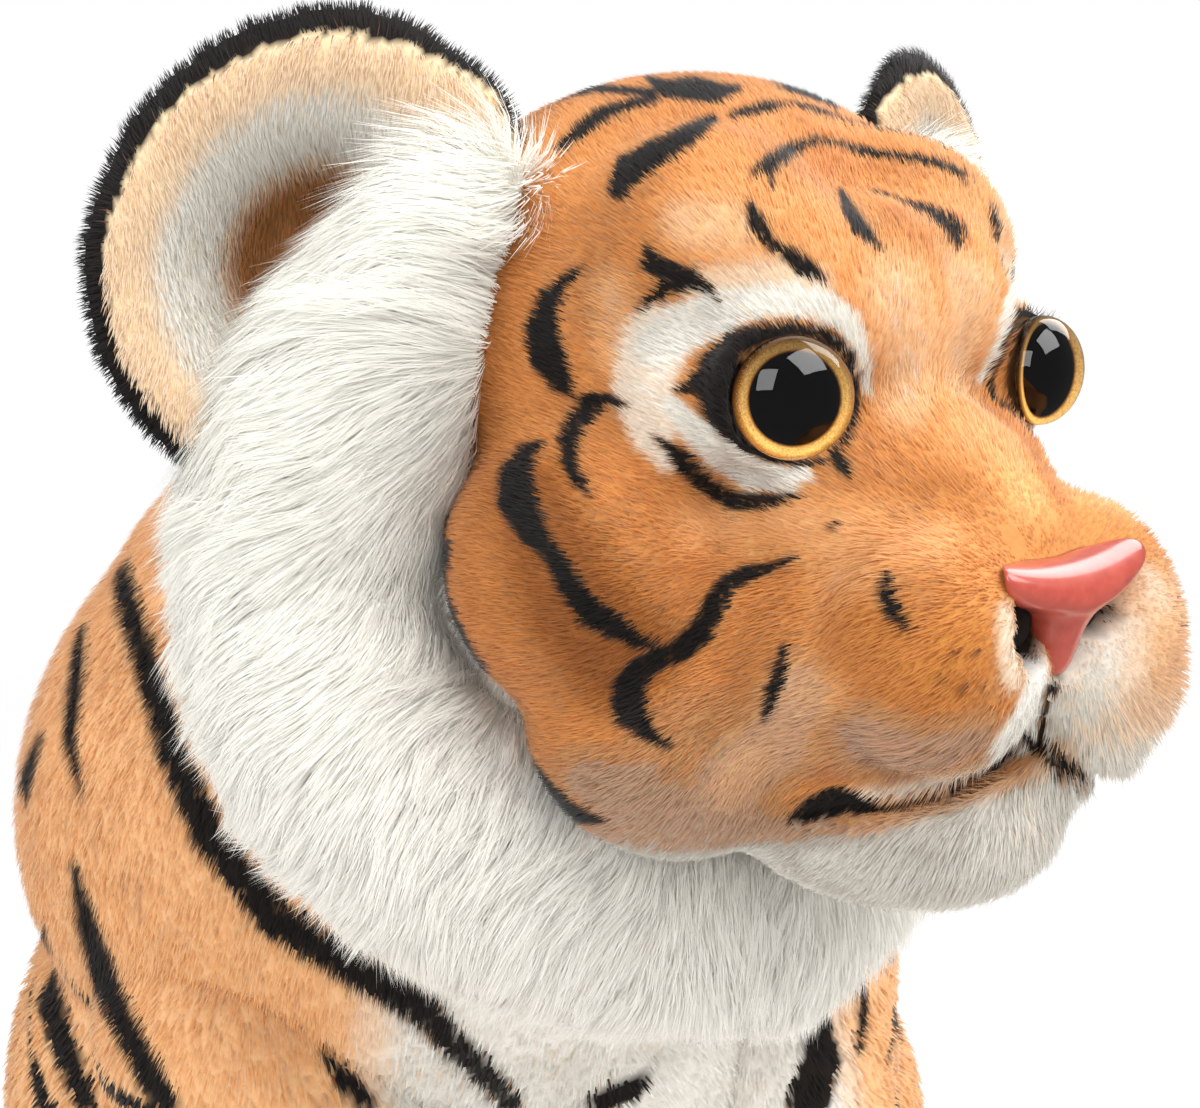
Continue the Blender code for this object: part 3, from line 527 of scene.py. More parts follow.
def land(px, py, tree):
    """Where the camera's ray through a photograph pixel meets a skin, and how deep."""
    eye = camera.matrix_world.translation
    ray = (AXES[0] * ((px - CENTRE[0]) / FOCAL) - AXES[1] * ((py - CENTRE[1]) / FOCAL)
           - AXES[2]).normalized()
    hit = tree.ray_cast(eye, ray)[0]
    if hit is None:
        reach = (tree.find_nearest(eye + ray * MISSED_REACH)[0] - eye).dot(ray)
        hit = tree.find_nearest(eye + ray * reach)[0]
    return hit, (hit - eye).dot(-AXES[2])


def follow(points, tree):
    """A traced line as rows of x, y, z and half width in metres, and as pixels."""
    rows = []
    for px, py, width in points:
        hit, depth = land(px, py, tree)
        rows.append((*hit, 0.5 * width * depth / FOCAL))
    return np.array(rows), np.array([(px, py, 0.5 * width) for px, py, width in points])


def on_photo(points):
    """Where points would lie on the photograph, in pixels."""
    away = points - np.array(camera.matrix_world.translation)
    deep = -away @ np.array(AXES[2])
    return np.stack((CENTRE[0] + FOCAL * (away @ np.array(AXES[0])) / deep,
                     CENTRE[1] - FOCAL * (away @ np.array(AXES[1])) / deep), axis=1)


def around(middle, points, tree):
    """A line given by azimuth, height and width round an upright axis, in millimetres."""
    rows = []
    for azimuth, height, width in points:
        turn = math.radians(azimuth)
        outward = Vector((math.cos(turn), math.sin(turn), 0.0))
        start = Vector((middle[0] * MM, middle[1] * MM, height * MM))
        hit = tree.ray_cast(start + outward * START_REACH, -outward)[0]
        hit = hit or tree.find_nearest(start)[0]
        rows.append((*hit, 0.5 * width * MM))
    return np.array(rows), None


def folded(rows):
    """Lines and points on both sides are compared on the camera's side."""
    rows = np.array(rows, float)
    rows[:, 0] = -np.abs(rows[:, 0])
    return rows


def inside_line(points, rows):
    """How far inside a line of changing half width each point is."""
    if len(rows) == 1:
        rows = np.repeat(rows, 2, axis=0)
    inside = np.full(len(points), -1e3)
    for start, end in zip(rows[:-1], rows[1:]):
        along = end[:-1] - start[:-1]
        part = np.clip((points - start[:-1]) @ along / max(along @ along, 1e-12), 0.0, 1.0)
        away = np.linalg.norm(points - start[:-1] - part[:, None] * along, axis=1)
        inside = np.maximum(inside, start[-1] + (end[-1] - start[-1]) * part - away)
    return inside


REACH_FOR_PIXELS = 0.022


def cover(points, pixels, line, softness, mirrored=True):
    """How much of a stroke's colour each point takes, from 0 to 1. A stroke with pixels
    is compared on the photograph, near its place in space."""
    rows, traced = line
    inside = inside_line(points, folded(rows) if mirrored else rows)
    if traced is not None:
        near = np.flatnonzero(inside > -REACH_FOR_PIXELS)
        inside = np.full(len(points), -1e3)
        inside[near] = inside_line(pixels[near], traced)
    share = np.clip(inside / softness + 0.5, 0.0, 1.0)
    return share * share * (3.0 - 2.0 * share)


# %% [markdown]
# On the toy a thread pulls the mouth in: a line under the nose, and from its end a curve
# along the lower edge of each muzzle pad. The same lines draw the skin's points inward.

# %% Mouth creases
MOUTH_SEEN = ((798, 819, 20), (850, 808, 24), (905, 806, 26), (950, 795, 28),
              (985, 774, 28), (1012, 754, 26), (1040, 747, 26))
UNDER_NOSE = ((1062, 676, 18), (1052, 695, 22), (1044, 722, 24), (1040, 747, 26))
MOUTH_FAR = ((-2.0, -40.0, -81.0), (8.0, -47.0, -95.0), (18.0, -47.0, -103.0),
             (29.0, -41.0, -104.0), (38.0, -30.0, -99.0), (44.0, -18.0, -92.0))
CREASE_DEPTH = 0.005
CREASE_REACH = 0.012
CREASE_WIDTH_MM = 14.0


def beside(rows_mm, width_mm, tree):
    """A line in millimetres from the eye point, brought onto a skin."""
    rows = [(*tree.find_nearest(on_head(*row))[0], 0.5 * width_mm * MM) for row in rows_mm]
    return np.array(rows), None


def draw_in(skin, lines):
    """Move a skin's points inward along lines, most in their middle."""
    points = skin_points(skin)
    ups = np.empty(len(skin.data.vertices) * 3)
    skin.data.vertices.foreach_get("normal", ups)
    pulled = np.zeros(len(points))
    pixels = on_photo(points)
    for rows, traced in lines:
        inside = inside_line(points, rows) / rows[0, 3]
        if traced is not None:
            close = inside_line(points, rows) > -CREASE_REACH
            inside = np.where(close, inside_line(pixels, traced) / traced[0, 2], -1.0)
        share = np.clip(inside, 0.0, 1.0)
        pulled = np.maximum(pulled, CREASE_DEPTH * share * share * (3.0 - 2.0 * share))
    points = points - ups.reshape(-1, 3) * pulled[:, None]
    skin.data.vertices.foreach_set("co", points.ravel())
    skin.data.update()
    print(skin.name, "drawn in by up to", round(float(pulled.max()) / MM, 1), "mm")


def skin_points(piece):
    """The points of a piece as an array."""
    flat = np.empty(len(piece.data.vertices) * 3)
    piece.data.vertices.foreach_get("co", flat)
    return flat.reshape(-1, 3)


head_tree = tree_of(head_skin)
far_mouth = beside(MOUTH_FAR, CREASE_WIDTH_MM, head_tree)
draw_in(head_skin, (follow(MOUTH_SEEN, head_tree), follow(UNDER_NOSE, head_tree), far_mouth))

# %% [markdown]
# Each eye sits in a small hollow, so the skin behind it is pressed flat. The nose sits in
# another, with a deeper pit on each side of its stem for the nostrils.

# %% Eye sockets and nose hollow
EYE_RADIUS = 0.0142
EYE_DEPTH = 0.76
EYE_TURN = math.radians(22.0)
EYE_TILT = math.radians(-2.0)
EYE_PLACE = (41.0, -4.2, 0.0)
SOCKET_FLOOR = 0.0042
SOCKET_EDGE = (0.98, 1.12)
SOCKET_REACH = 0.03
HOLLOW_EDGE = (0.75, 1.15)
DEEPEST_PRESS = 12.0


def eye_middle(side):
    """The middle of an eye's dome."""
    return on_head(EYE_PLACE[0] * side, EYE_PLACE[1], EYE_PLACE[2])


def eye_axis(side):
    """The way an eye looks."""
    return Vector((side * math.sin(EYE_TURN) * math.cos(EYE_TILT),
                   -math.cos(EYE_TURN) * math.cos(EYE_TILT), math.sin(EYE_TILT)))


def step_up(values, low, high):
    """A smooth step from 0 at low to 1 at high."""
    share = np.clip((values - low) / (high - low), 0.0, 1.0)
    return share * share * (3.0 - 2.0 * share)


points = skin_points(head_skin)
for side in (1.0, -1.0):
    middle = np.array(eye_middle(side))
    axis = np.array(eye_axis(side))
    forward = (points - middle) @ axis
    off_axis = np.linalg.norm(points - middle - forward[:, None] * axis, axis=1)
    share = 1.0 - step_up(off_axis, EYE_RADIUS * SOCKET_EDGE[0], EYE_RADIUS * SOCKET_EDGE[1])
    close = np.abs(forward) < SOCKET_REACH
    sunk = np.maximum(forward + SOCKET_FLOOR, 0.0) * share * close
    points = points - axis * sunk[:, None]

NOSE_HOLLOWS = (((0.0, -53.0), (8.0, 12.5), -44.5), ((-14.2, -50.5), (8.6, 8.6), -42.5),
                ((9.5, -50.5), (4.6, 6.5), -43.0))


def in_hollow(places, middle, halves):
    """How far from a hollow's middle places lie, as a share of its half sizes."""
    across = (places[:, 0] - middle[0]) / halves[0]
    return np.hypot(across, (places[:, 2] - middle[1]) / halves[1])


places = (points - np.array(EYES)) / MM
for middle, halves, floor_y in NOSE_HOLLOWS:
    share = 1.0 - step_up(in_hollow(places, middle, halves), *HOLLOW_EDGE)
    places[:, 1] += share * np.clip(floor_y - places[:, 1], 0.0, DEEPEST_PRESS)
points = places * MM + np.array(EYES)
head_skin.data.vertices.foreach_set("co", points.ravel())
head_skin.data.update()
print("sockets and nose hollow pressed in")

# %% [markdown]
# The face's colours come first, from wide and soft to narrow and crisp: peach cheeks, a
# painted shade along the edge under the ruff and on the lower cheek and jaw, a paler brow and
# bridge that is partly a painted highlight, white round the eyes and on the muzzle, then the
# black.

# %% Face strokes
FACE_AREAS = (
    ("D08A4A", 50, ((520, 130, 60), (500, 260, 70), (470, 420, 70), (450, 560, 70),
                    (480, 700, 60))),
    ("E0A162", 50, ((560, 150, 90), (640, 120, 110), (760, 110, 90))),
    # Paler brow and bridge between the eyes: partly the fur's own paler orange, partly a
    # painted highlight.
    ("E9AC70", 60, ((720, 210, 120), (830, 240, 110), (900, 300, 90), (950, 420, 80))),
    ("E9C49A", 36, ((688, 222, 46), (735, 226, 46))),
    ("F0B676", 40, ((930, 290, 60), (980, 420, 60), (1030, 500, 40))),
    ("F1CDA2", 44, ((895, 285, 60), (915, 345, 60), (905, 400, 44))),
    ("F3CFA0", 50, ((920, 130, 50), (965, 190, 50), (975, 240, 40))),
    ("F0B87C", 54, ((700, 525, 50), (780, 520, 60), (860, 540, 80), (930, 540, 50))),
    ("F0B880", 50, ((850, 600, 70), (835, 650, 60), (815, 700, 50))),
    ("E9B988", 40, ((610, 290, 36), (618, 350, 40))),
    # Painted shade: the cheek's edge under the ruff is painted darker.
    ("A8682F", 60, ((530, 500, 90), (570, 600, 110), (620, 660, 110))),
    # Painted shade on the lower cheek and jaw, greyer towards the lower edge: the first area is
    # partly the cheek's own tan and partly painted shade, and the next two are painted shade
    # only.
    ("BC9468", 60, ((700, 750, 90), (640, 800, 90), (720, 815, 80))),
    ("AC937A", 50, ((585, 780, 50), (640, 805, 70), (700, 830, 50))),
    ("BBAC99", 50, ((620, 850, 60), (720, 860, 70), (820, 850, 60))),
    ("DAB88E", 50, ((800, 690, 50), (775, 745, 70), (735, 785, 60))),
    ("D89448", 50, ((860, 640, 90), (930, 680, 90), (960, 640, 60))),
    ("CDA783", 44, ((860, 740, 60), (920, 760, 60), (980, 740, 40))),
    ("EFD3B0", 16, ((1090, 760, 70), (1130, 700, 90), (1150, 640, 70))),
    ("E6B98C", 18, ((860, 822, 12), (930, 815, 22), (985, 788, 30), (1040, 785, 34))),
    ("EDE6DA", 18, ((850, 796, 8), (900, 792, 14), (950, 780, 18), (1000, 750, 24),
                    (1030, 722, 30))),
    ("D9D5CD", 26, ((700, 890, 50), (820, 885, 80), (900, 878, 104), (980, 852, 104),
                    (1050, 818, 80))),
    ("F2EEE6", 9, ((1038, 655, 16), (1040, 690, 30), (1026, 722, 30), (1000, 752, 22))),
    ("EBD9C2", 16, ((1006, 610, 14), (1010, 645, 24), (1014, 680, 24))),
    ("F0DCC0", 30, ((700, 288, 34), (760, 276, 36), (815, 284, 30))),
    ("F0E2D2", 14, ((655, 340, 70), (640, 390, 60), (652, 432, 46), (665, 462, 20))),
    ("EAE7DD", 8, ((655, 345, 44), (682, 328, 50), (715, 312, 44), (750, 302, 36),
                   (790, 298, 34), (825, 305, 32), (850, 322, 26), (864, 350, 16),
                   (868, 390, 10))),
    ("EAE7DD", 7, ((672, 405, 20), (690, 428, 28), (722, 455, 34), (750, 474, 32),
                   (784, 480, 26), (806, 474, 14))),
)
FACE_BLACK = (
    ((528, 114, 12), (547, 100, 13), (568, 92, 12), (592, 88, 9), (625, 90, 8),
     (654, 92, 10)),
    ((558, 148, 8), (579, 130, 16), (600, 114, 16), (627, 104, 11), (654, 98, 9)),
    ((648, 78, 6), (667, 88, 18), (694, 88, 25), (716, 92, 21), (738, 88, 8)),
    ((617, 190, 20), (628, 168, 30), (655, 152, 27), (685, 136, 22), (712, 119, 12)),
    ((732, 115, 6), (748, 110, 10), (764, 106, 12), (784, 103, 5)),
    ((750, 172, 5), (770, 163, 16), (788, 151, 16), (804, 143, 9), (828, 136, 7),
     (850, 140, 5)),
    ((770, 163, 12), (772, 184, 3)),
    ((750, 203, 8), (757, 222, 19), (769, 242, 13), (788, 253, 16), (804, 266, 21),
     (826, 279, 5)),
    ((841, 190, 5), (848, 208, 14), (860, 226, 17), (871, 238, 12), (885, 250, 3)),
    ((646, 247, 9), (651, 263, 23), (673, 272, 20), (694, 280, 20), (708, 290, 12),
     (719, 302, 3)),
    ((637, 311, 4), (651, 298, 13), (667, 288, 17), (684, 285, 14)),
    ((583, 265, 4), (563, 282, 14), (547, 301, 24), (541, 328, 34), (546, 355, 38),
     (559, 380, 26), (573, 400, 4)),
    ((627, 405, 3), (606, 399, 14), (590, 404, 24), (576, 420, 22), (567, 442, 20),
     (569, 462, 18), (577, 480, 13), (589, 494, 4)),
    ((541, 441, 5), (524, 454, 22), (515, 476, 36), (517, 501, 41), (529, 526, 34),
     (543, 543, 22), (557, 563, 21), (571, 590, 28), (590, 613, 30), (613, 626, 26),
     (634, 640, 17), (654, 645, 8)),
    ((795, 557, 4), (768, 568, 11), (743, 574, 18), (723, 588, 22), (712, 611, 24),
     (700, 633, 27), (681, 650, 25), (659, 659, 22), (640, 670, 26), (628, 689, 34),
     (629, 712, 36), (646, 731, 22), (671, 748, 4)),
    ((784, 643, 4), (779, 667, 14), (771, 695, 16), (762, 723, 5)),
    ((510, 720, 5), (512, 743, 20), (520, 770, 32), (538, 792, 34), (560, 809, 26),
     (586, 818, 14), (608, 823, 3)),
    ((448, 543, 8), (441, 577, 12), (440, 602, 20), (452, 625, 18), (468, 653, 13),
     (487, 673, 4)),
    ((654, 437, 4), (670, 449, 12), (683, 462, 22), (697, 478, 18), (714, 491, 17),
     (735, 502, 18), (758, 502, 16), (781, 498, 11), (800, 493, 3)),
    ((832, 452, 10), (841, 463, 14), (848, 474, 7)),
    ((829, 528, 6), (835, 522, 6)),
    ((672, 390, 4), (692, 386, 16), (706, 381, 34), (722, 384, 56), (740, 392, 70)),
    ((712, 366, 30), (735, 343, 28), (765, 333, 22), (797, 330, 18), (828, 337, 16),
     (847, 352, 14), (855, 380, 9), (856, 405, 8), (850, 430, 8), (838, 450, 8)),
    ((712, 408, 26), (726, 428, 22), (745, 446, 14), (770, 458, 10), (795, 463, 8),
     (825, 460, 8)),
    ((886, 574, 10), (884, 593, 16), (891, 610, 18), (901, 624, 14), (910, 628, 4)),
    ((793, 821, 12), (816, 809, 28), (833, 802, 31), (853, 804, 22), (872, 808, 11),
     (895, 808, 6), (917, 805, 4)),
)
MOUTH_BLACK = (
    ((1007, 747, 5), (1021, 743, 12), (1032, 744, 16), (1043, 753, 14), (1055, 762, 14),
     (1072, 772, 12), (1085, 780, 7)),
    ((1060, 677, 4), (1052, 691, 12), (1045, 712, 6), (1040, 740, 8)),
    # This line runs in the crease along the near pad's lower edge: the mouth's stitch and
    # painted shade of the crease, both in black.
    ((905, 806, 6), (950, 795, 5), (985, 774, 5), (1010, 754, 8)),
)
WHISKER_DOTS = ((938, 681, 9), (963, 690, 12), (982, 688, 9), (954, 652, 9), (976, 652, 7))
BLACK = "241E1B"
DOT_BROWN = "8C5A36"
CRISP_PX, DOT_SOFT_PX, BODY_SOFT_PX = 5, 4, 6
SOFT_EDGE = 0.002
MOUTH_WIDTH_MM = 3.0


def traced(colour, softness, lines, tree):
    """Strokes of one colour that were followed on the photograph."""
    return [(linear(colour), softness, follow(points, tree)) for points in lines]


def drawn_round(middle, lines, tree):
    """Black stripes drawn round an upright axis."""
    return [(linear(BLACK), SOFT_EDGE, around(middle, points, tree)) for points in lines]


face_tree = tree_of(head_skin)
face_strokes = []
for colour, softness, points in FACE_AREAS:
    face_strokes += traced(colour, softness, (points,), face_tree)
face_strokes += traced(BLACK, CRISP_PX, FACE_BLACK, face_tree)
face_strokes += traced(DOT_BROWN, DOT_SOFT_PX, [(dot,) for dot in WHISKER_DOTS], face_tree)
mouth_strokes = traced(BLACK, CRISP_PX, MOUTH_BLACK, face_tree)
mouth_strokes.append((linear(BLACK), SOFT_EDGE, beside(MOUTH_FAR, MOUTH_WIDTH_MM, face_tree)))
print("face strokes:", len(face_strokes))

# %% [markdown]
# The body is peach orange with a white chest, belly and toes. Its black stripes run from the
# spine round the flanks. The ones near the camera were followed on the photograph, and the
# others continue them in the way of a real tiger's coat.

# %% Body strokes
BODY_SEEN = (
    ((115, 535, 10), (125, 600, 24), (150, 680, 30), (175, 760, 34), (210, 840, 38),
     (280, 925, 40), (350, 965, 38), (420, 1010, 36), (470, 1060, 30), (510, 1104, 24)),
    ((82, 600, 6), (75, 680, 16), (68, 740, 14), (80, 800, 4)),
    ((38, 740, 8), (15, 810, 20), (15, 870, 26), (35, 950, 28), (60, 1040, 28),
     (85, 1104, 26)),
    ((72, 865, 6), (85, 920, 22), (110, 1000, 28), (150, 1080, 28), (165, 1104, 24)),
    ((322, 1050, 6), (345, 1080, 22), (365, 1104, 24)),
    ((690, 1045, 6), (640, 1080, 26), (600, 1104, 28)),
)
BODY_FAR = (
    ((806, 1000, 14), (818, 1030, 34), (822, 1060, 40), (808, 1104, 44)),
    ((862, 978, 8), (864, 1010, 12), (860, 1050, 8)),
)
TORSO_MIDDLE = (0.0, 15.0)
TORSO_STRIPES = (
    ((92, 398, 16), (70, 380, 18), (45, 356, 16), (22, 330, 12), (5, 312, 4)),
    ((92, 352, 16), (70, 338, 18), (48, 318, 18), (28, 296, 14), (12, 280, 4)),
    ((92, 308, 15), (72, 298, 18), (50, 278, 18), (32, 256, 14), (18, 240, 4)),
    ((92, 262, 14), (74, 254, 17), (56, 238, 16), (40, 220, 6)),
    ((92, 218, 13), (76, 212, 15), (62, 200, 12), (52, 190, 4)),
    ((92, 174, 12), (80, 170, 13), (68, 160, 5)),
    ((92, 128, 10), (82, 124, 12), (72, 118, 4)),
    ((-10, 300, 5), (-22, 270, 14), (-30, 235, 15), (-34, 205, 5)),
    ((2, 262, 5), (-10, 228, 13), (-18, 196, 5)),
)
HAUNCH_MIDDLE = (100.0, 6.0)
HAUNCH_STRIPES = (
    ((-42, 178, 5), (-20, 186, 14), (8, 188, 16), (34, 182, 14), (52, 174, 5)),
    ((-48, 140, 5), (-26, 150, 14), (2, 154, 17), (28, 150, 15), (48, 142, 5)),
    ((-44, 104, 5), (-22, 114, 13), (4, 118, 15), (28, 114, 12), (44, 106, 4)),
    ((-30, 72, 5), (-12, 80, 11), (10, 82, 12), (30, 76, 4)),
)
LEG_MIDDLES = (((92.0, -116.0), 150.0), ((104.0, -100.0), 185.0), ((116.0, -79.0), 222.0),
               ((122.0, -66.0), 258.0), ((87.0, -138.0), 112.0))
TAIL_BANDS = (232.0, 196.0, 160.0, 124.0, 88.0, 52.0, 20.0)
LEG_BAND = ((-60, -6, 4), (-25, 0, 11), (15, 5, 14), (55, 3, 12), (95, -5, 4))
NECK_MIDDLE = (0.0, -165.0)
NECK_STRIPES = (
    ((92, 505, 10), (70, 498, 13), (45, 488, 12), (20, 474, 5)),
    ((92, 478, 11), (68, 470, 14), (42, 458, 12), (16, 446, 4)),
    ((92, 448, 10), (66, 440, 13), (38, 428, 5)),
)
body_tree = tree_of(torso_skin, *skins.values())
leg_tree = tree_of(skins["front_leg_left"])
neck_strokes = drawn_round(NECK_MIDDLE, NECK_STRIPES, tree_of(neck_skin))
far_strokes = traced(BLACK, BODY_SOFT_PX, BODY_FAR, body_tree)
body_strokes = traced(BLACK, BODY_SOFT_PX, BODY_SEEN, body_tree)
body_strokes += drawn_round(TORSO_MIDDLE, TORSO_STRIPES, tree_of(torso_skin))
body_strokes += drawn_round(HAUNCH_MIDDLE, HAUNCH_STRIPES, tree_of(skins["hind_leg_left"]))
for middle, height in LEG_MIDDLES:
    band = [(azimuth, height + rise, width) for azimuth, rise, width in LEG_BAND]
    body_strokes += drawn_round(middle, (band,), leg_tree)
print("body strokes:", len(body_strokes))


# %% Colours of a point
def mixed_in(colours, share, colour):
    """Lay a colour over others by a share from 0 to 1."""
    return colours + share[:, None] * (np.array(colour) - colours)


def with_strokes(colours, points, strokes, mirrored=True):
    """Lay strokes over colours, in their order."""
    near = folded(points) if mirrored else points
    pixels = on_photo(near)
    for colour, softness, line in strokes:
        colours = mixed_in(colours, cover(near, pixels, line, softness, mirrored),
                          colour)
    return colours


MOTTLE = 0.045
CHEST_WHITE, BACK_ORANGE = "F1ECE3", "DD9A5C"
HEAD_ORANGE, BODY_PEACH, TAIL_ORANGE = "D49355", "F2BE8B", "E3A065"
CHIN_GREY, PAD_CREAM, PAD_TAN = "D4D1CA", "E4DBCE", "DDAE7C"
RUFF_WHITE, RUFF_SHADE = "FAFAF3", "E4E0D8"
EAR_TAN, EAR_CREAM, EAR_HOLLOW_SHADE = "FAE0B6", "F6EFE4", "C08350"


def mottled(colours, points):
    """Brushed pile looks lighter and darker in patches of a centimetre or so."""
    patch = waves(points, 11.0)[:, :1] + 0.7 * waves(points, 4.5)[:, 1:2]
    return colours * (1.0 + MOTTLE * patch)


def waves(points, size):
    """Slow, smooth side sway in millimetre waves, so that strands lie in locks."""
    turned = points / (size * MM) @ np.array(((1.0, 0.6, -0.7), (-0.4, 1.1, 0.5),
                                              (0.8, -0.3, 0.9)))
    return np.sin(turned + 1.7 * np.sin(turned[:, (1, 2, 0)]))


def head_coat(points):
    """Printed colour of the head at each point, in metres, with painted shade under the ruff,
    on the lower cheek and jaw, in the mouth's crease and in the nostril pits, and a painted
    highlight on the brow and bridge.
    """
    colours = np.tile(linear(HEAD_ORANGE), (len(points), 1))
    colours = with_strokes(colours, points, face_strokes[:len(FACE_AREAS)])
    place = (points - np.array(EYES)) / MM
    low = step_up(-place[:, 2], 112.0, 120.0)
    front = step_up(-place[:, 1], 33.0, 42.0) * step_up(-np.abs(place[:, 2] + 84.0),
                                                        -46.0, -24.0)
    far = front * step_up(place[:, 0], -4.0, -1.0)
    outer = far * step_up(place[:, 0], 8.0, 24.0) * step_up(place[:, 2], -92.0, -66.0)
    for share, tone in ((low, CHIN_GREY), (0.9 * far, PAD_CREAM), (0.9 * outer, PAD_TAN)):
        colours = mixed_in(colours, share, linear(tone))
    colours = mottled(colours, points)
    colours = with_strokes(colours, points, face_strokes[len(FACE_AREAS):])
    colours = with_strokes(colours, points, mouth_strokes, False)
    # Painted shade: the nostril pits beside the stem are painted black.
    for middle, halves, _ in NOSE_HOLLOWS[1:]:
        pit = 1.0 - step_up(in_hollow(place, middle, halves), 0.9, 1.05)
        colours = mixed_in(colours, pit * (place[:, 1] < -30.0), linear(BLACK))
    return colours


def ruff_coat(points):
    """The long pile is white, with painted shade: a little greyer where it is low and deep."""
    colours = np.tile(linear(RUFF_WHITE), (len(points), 1))
    low = step_up(-points[:, 2], -(EYES.z - 0.02), -(EYES.z - 0.16))
    return mixed_in(colours, 0.35 * low, linear(RUFF_SHADE))


def neck_coat(points):
    """The nape goes on with the back's orange and stripes, and the throat is white."""
    colours = np.tile(linear(BACK_ORANGE), (len(points), 1))
    throat = step_up(-points[:, 1], -(EYES.y + 0.13), -(EYES.y + 0.10))
    colours = mixed_in(mottled(colours, points), throat, linear(CHEST_WHITE))
    return with_strokes(colours, points, neck_strokes)


def body_coat(points):
    """Peach orange with a white chest and belly, under the stripes."""
    x, y, z = np.abs(points[:, 0]), points[:, 1], points[:, 2]
    colours = np.tile(linear(BODY_PEACH), (len(points), 1))
    colours = mixed_in(colours, 0.6 * step_up(y, 0.02, 0.14), linear(BACK_ORANGE))
    chest = step_up(-y, 0.045, 0.085) * step_up(-x, -0.115, -0.085)
    inside = step_up(-x, -0.075, -0.055) * step_up(-z, -0.28, -0.22)
    toes_white = step_up(-y, 0.205, 0.235) * step_up(-z, -0.07, -0.055)
    for share in (chest, inside * step_up(-y, 0.0, 0.05), toes_white):
        colours = mixed_in(colours, share, linear(CHEST_WHITE))
    colours = with_strokes(mottled(colours, points), points, body_strokes)
    return with_strokes(colours, points, far_strokes, False)


def tail_coat(points):
    """Orange with black rings and a black tip."""
    colours = np.tile(linear(TAIL_ORANGE), (len(points), 1))
    line = np.array([(x, y) for x, y, _, _ in smooth_line(TAIL_LINE, 200)])
    spans = np.linalg.norm(np.diff(line, axis=0), axis=1)
    run = np.concatenate(([0.0], np.cumsum(spans)))
    gaps = np.linalg.norm(points[:, None, :2] / MM - line[None], axis=2)
    place = run[np.argmin(gaps, axis=1)]
    for band in TAIL_BANDS:
        share = step_up(-np.abs(place - band), -9.0, -6.0)
        colours = mixed_in(colours, share, linear(BLACK))
    return mixed_in(colours, step_up(points[:, 0] / MM, 176.0, 184.0), linear(BLACK))


def ear_coat(points):
    """Black behind, and in front a tan rim, a cream ring and a hollow painted warm brown as
    painted shade.
    """
    middle, outward, up, forward = (np.array(value) for value in ear_frame(-1.0))
    near = folded(points) - middle
    across, along, depth = near @ outward / MM, near @ up / MM, near @ forward / MM
    turn = np.arctan2(along - EAR_CENTRE[1], across - EAR_CENTRE[0])
    reach = np.hypot(across - EAR_CENTRE[0], along - EAR_CENTRE[1]) / ear_reach(turn)
    colours = np.tile(linear(EAR_TAN), (len(points), 1))
    colours = mixed_in(colours, step_up(-reach, -0.78, -0.62), linear(EAR_CREAM))
    # Painted shade: the ear's hollow is painted warm brown.
    colours = mixed_in(colours, step_up(-reach, -0.50, -0.34), linear(EAR_HOLLOW_SHADE))
    floor_depth = -EAR_DEPTH * dish(reach)
    behind = step_up(floor_depth - depth, 1.2, 1.6)
    edge = reach - 0.08 * step_up(-across, 28.0, 60.0)
    rim = step_up(edge, 0.890, 0.896)
    return mixed_in(colours, np.maximum(behind, rim), linear(BLACK))


# %% [markdown]
# The backing fabric under the pile takes the same colours, a little darker, as the light
# reaches it only between the strands. Their numbers are stored on the skin's own points, and
# a knit of fine noise breaks them up.

# %% Backing fabric
COAT = "coat"
WEAVE_MM = 1.4


def plush_backing(name, darkest_painted_shade):
    """Woven polyester backing. It is dull, and a knit of noise darkens its coat colours, as
    painted shade of the pile above it.
    """
    made, tree = new_material(name)
    coat = add_node(tree, "ShaderNodeAttribute", attribute_name=COAT)
    where = add_node(tree, "ShaderNodeTexCoord")
    weave = add_node(tree, "ShaderNodeTexNoise", ((where.outputs["Object"], "Vector"),),
                     Scale=1.0 / (WEAVE_MM * MM), Detail=2.0)
    shade = add_node(tree, "ShaderNodeMapRange", ((weave.outputs["Fac"], "Value"),),
                     To_Min=darkest_painted_shade, To_Max=1.0)
    dyed = add_node(tree, "ShaderNodeVectorMath", ((coat.outputs["Color"], 0),
                                                   (shade.outputs[0], 1)),
                    operation='MULTIPLY')
    cloth = add_node(tree, "ShaderNodeBsdfPrincipled", ((dyed.outputs[0], "Base Color"),),
                     Roughness=0.9, Specular_IOR_Level=0.15)
    add_node(tree, "ShaderNodeOutputMaterial", ((cloth.outputs[0], "Surface"),))
    return made


def dye(piece, coat, backing):
    """Store the coat's colours on a skin and give it the backing fabric."""
    colours = coat(skin_points(piece))
    rows = np.ones((len(colours), 4))
    rows[:, :3] = colours
    layer = piece.data.color_attributes.new(COAT, 'FLOAT_COLOR', 'POINT')
    layer.data.foreach_set("color", rows.ravel())
    piece.data.materials.clear()
    piece.data.materials.append(backing)


# Both backings are painted darker than their coat, the printed one more: painted shade of the
# pile above them.
printed = plush_backing("polyester plush backing, printed", 0.70)
undyed = plush_backing("long pile backing, undyed", 0.94)
coats = [(head_skin, head_coat), (ruff_skin, ruff_coat), (neck_skin, neck_coat),
         (torso_skin, body_coat), (tail_skin, tail_coat)]
coats += [(piece, body_coat) for piece in skins.values()]
coats += [(piece, ear_coat) for piece in ears.values()]
for piece, coat in coats:
    dye(piece, coat, undyed if coat is ruff_coat else printed)
print("dyed", len(coats), "skins")
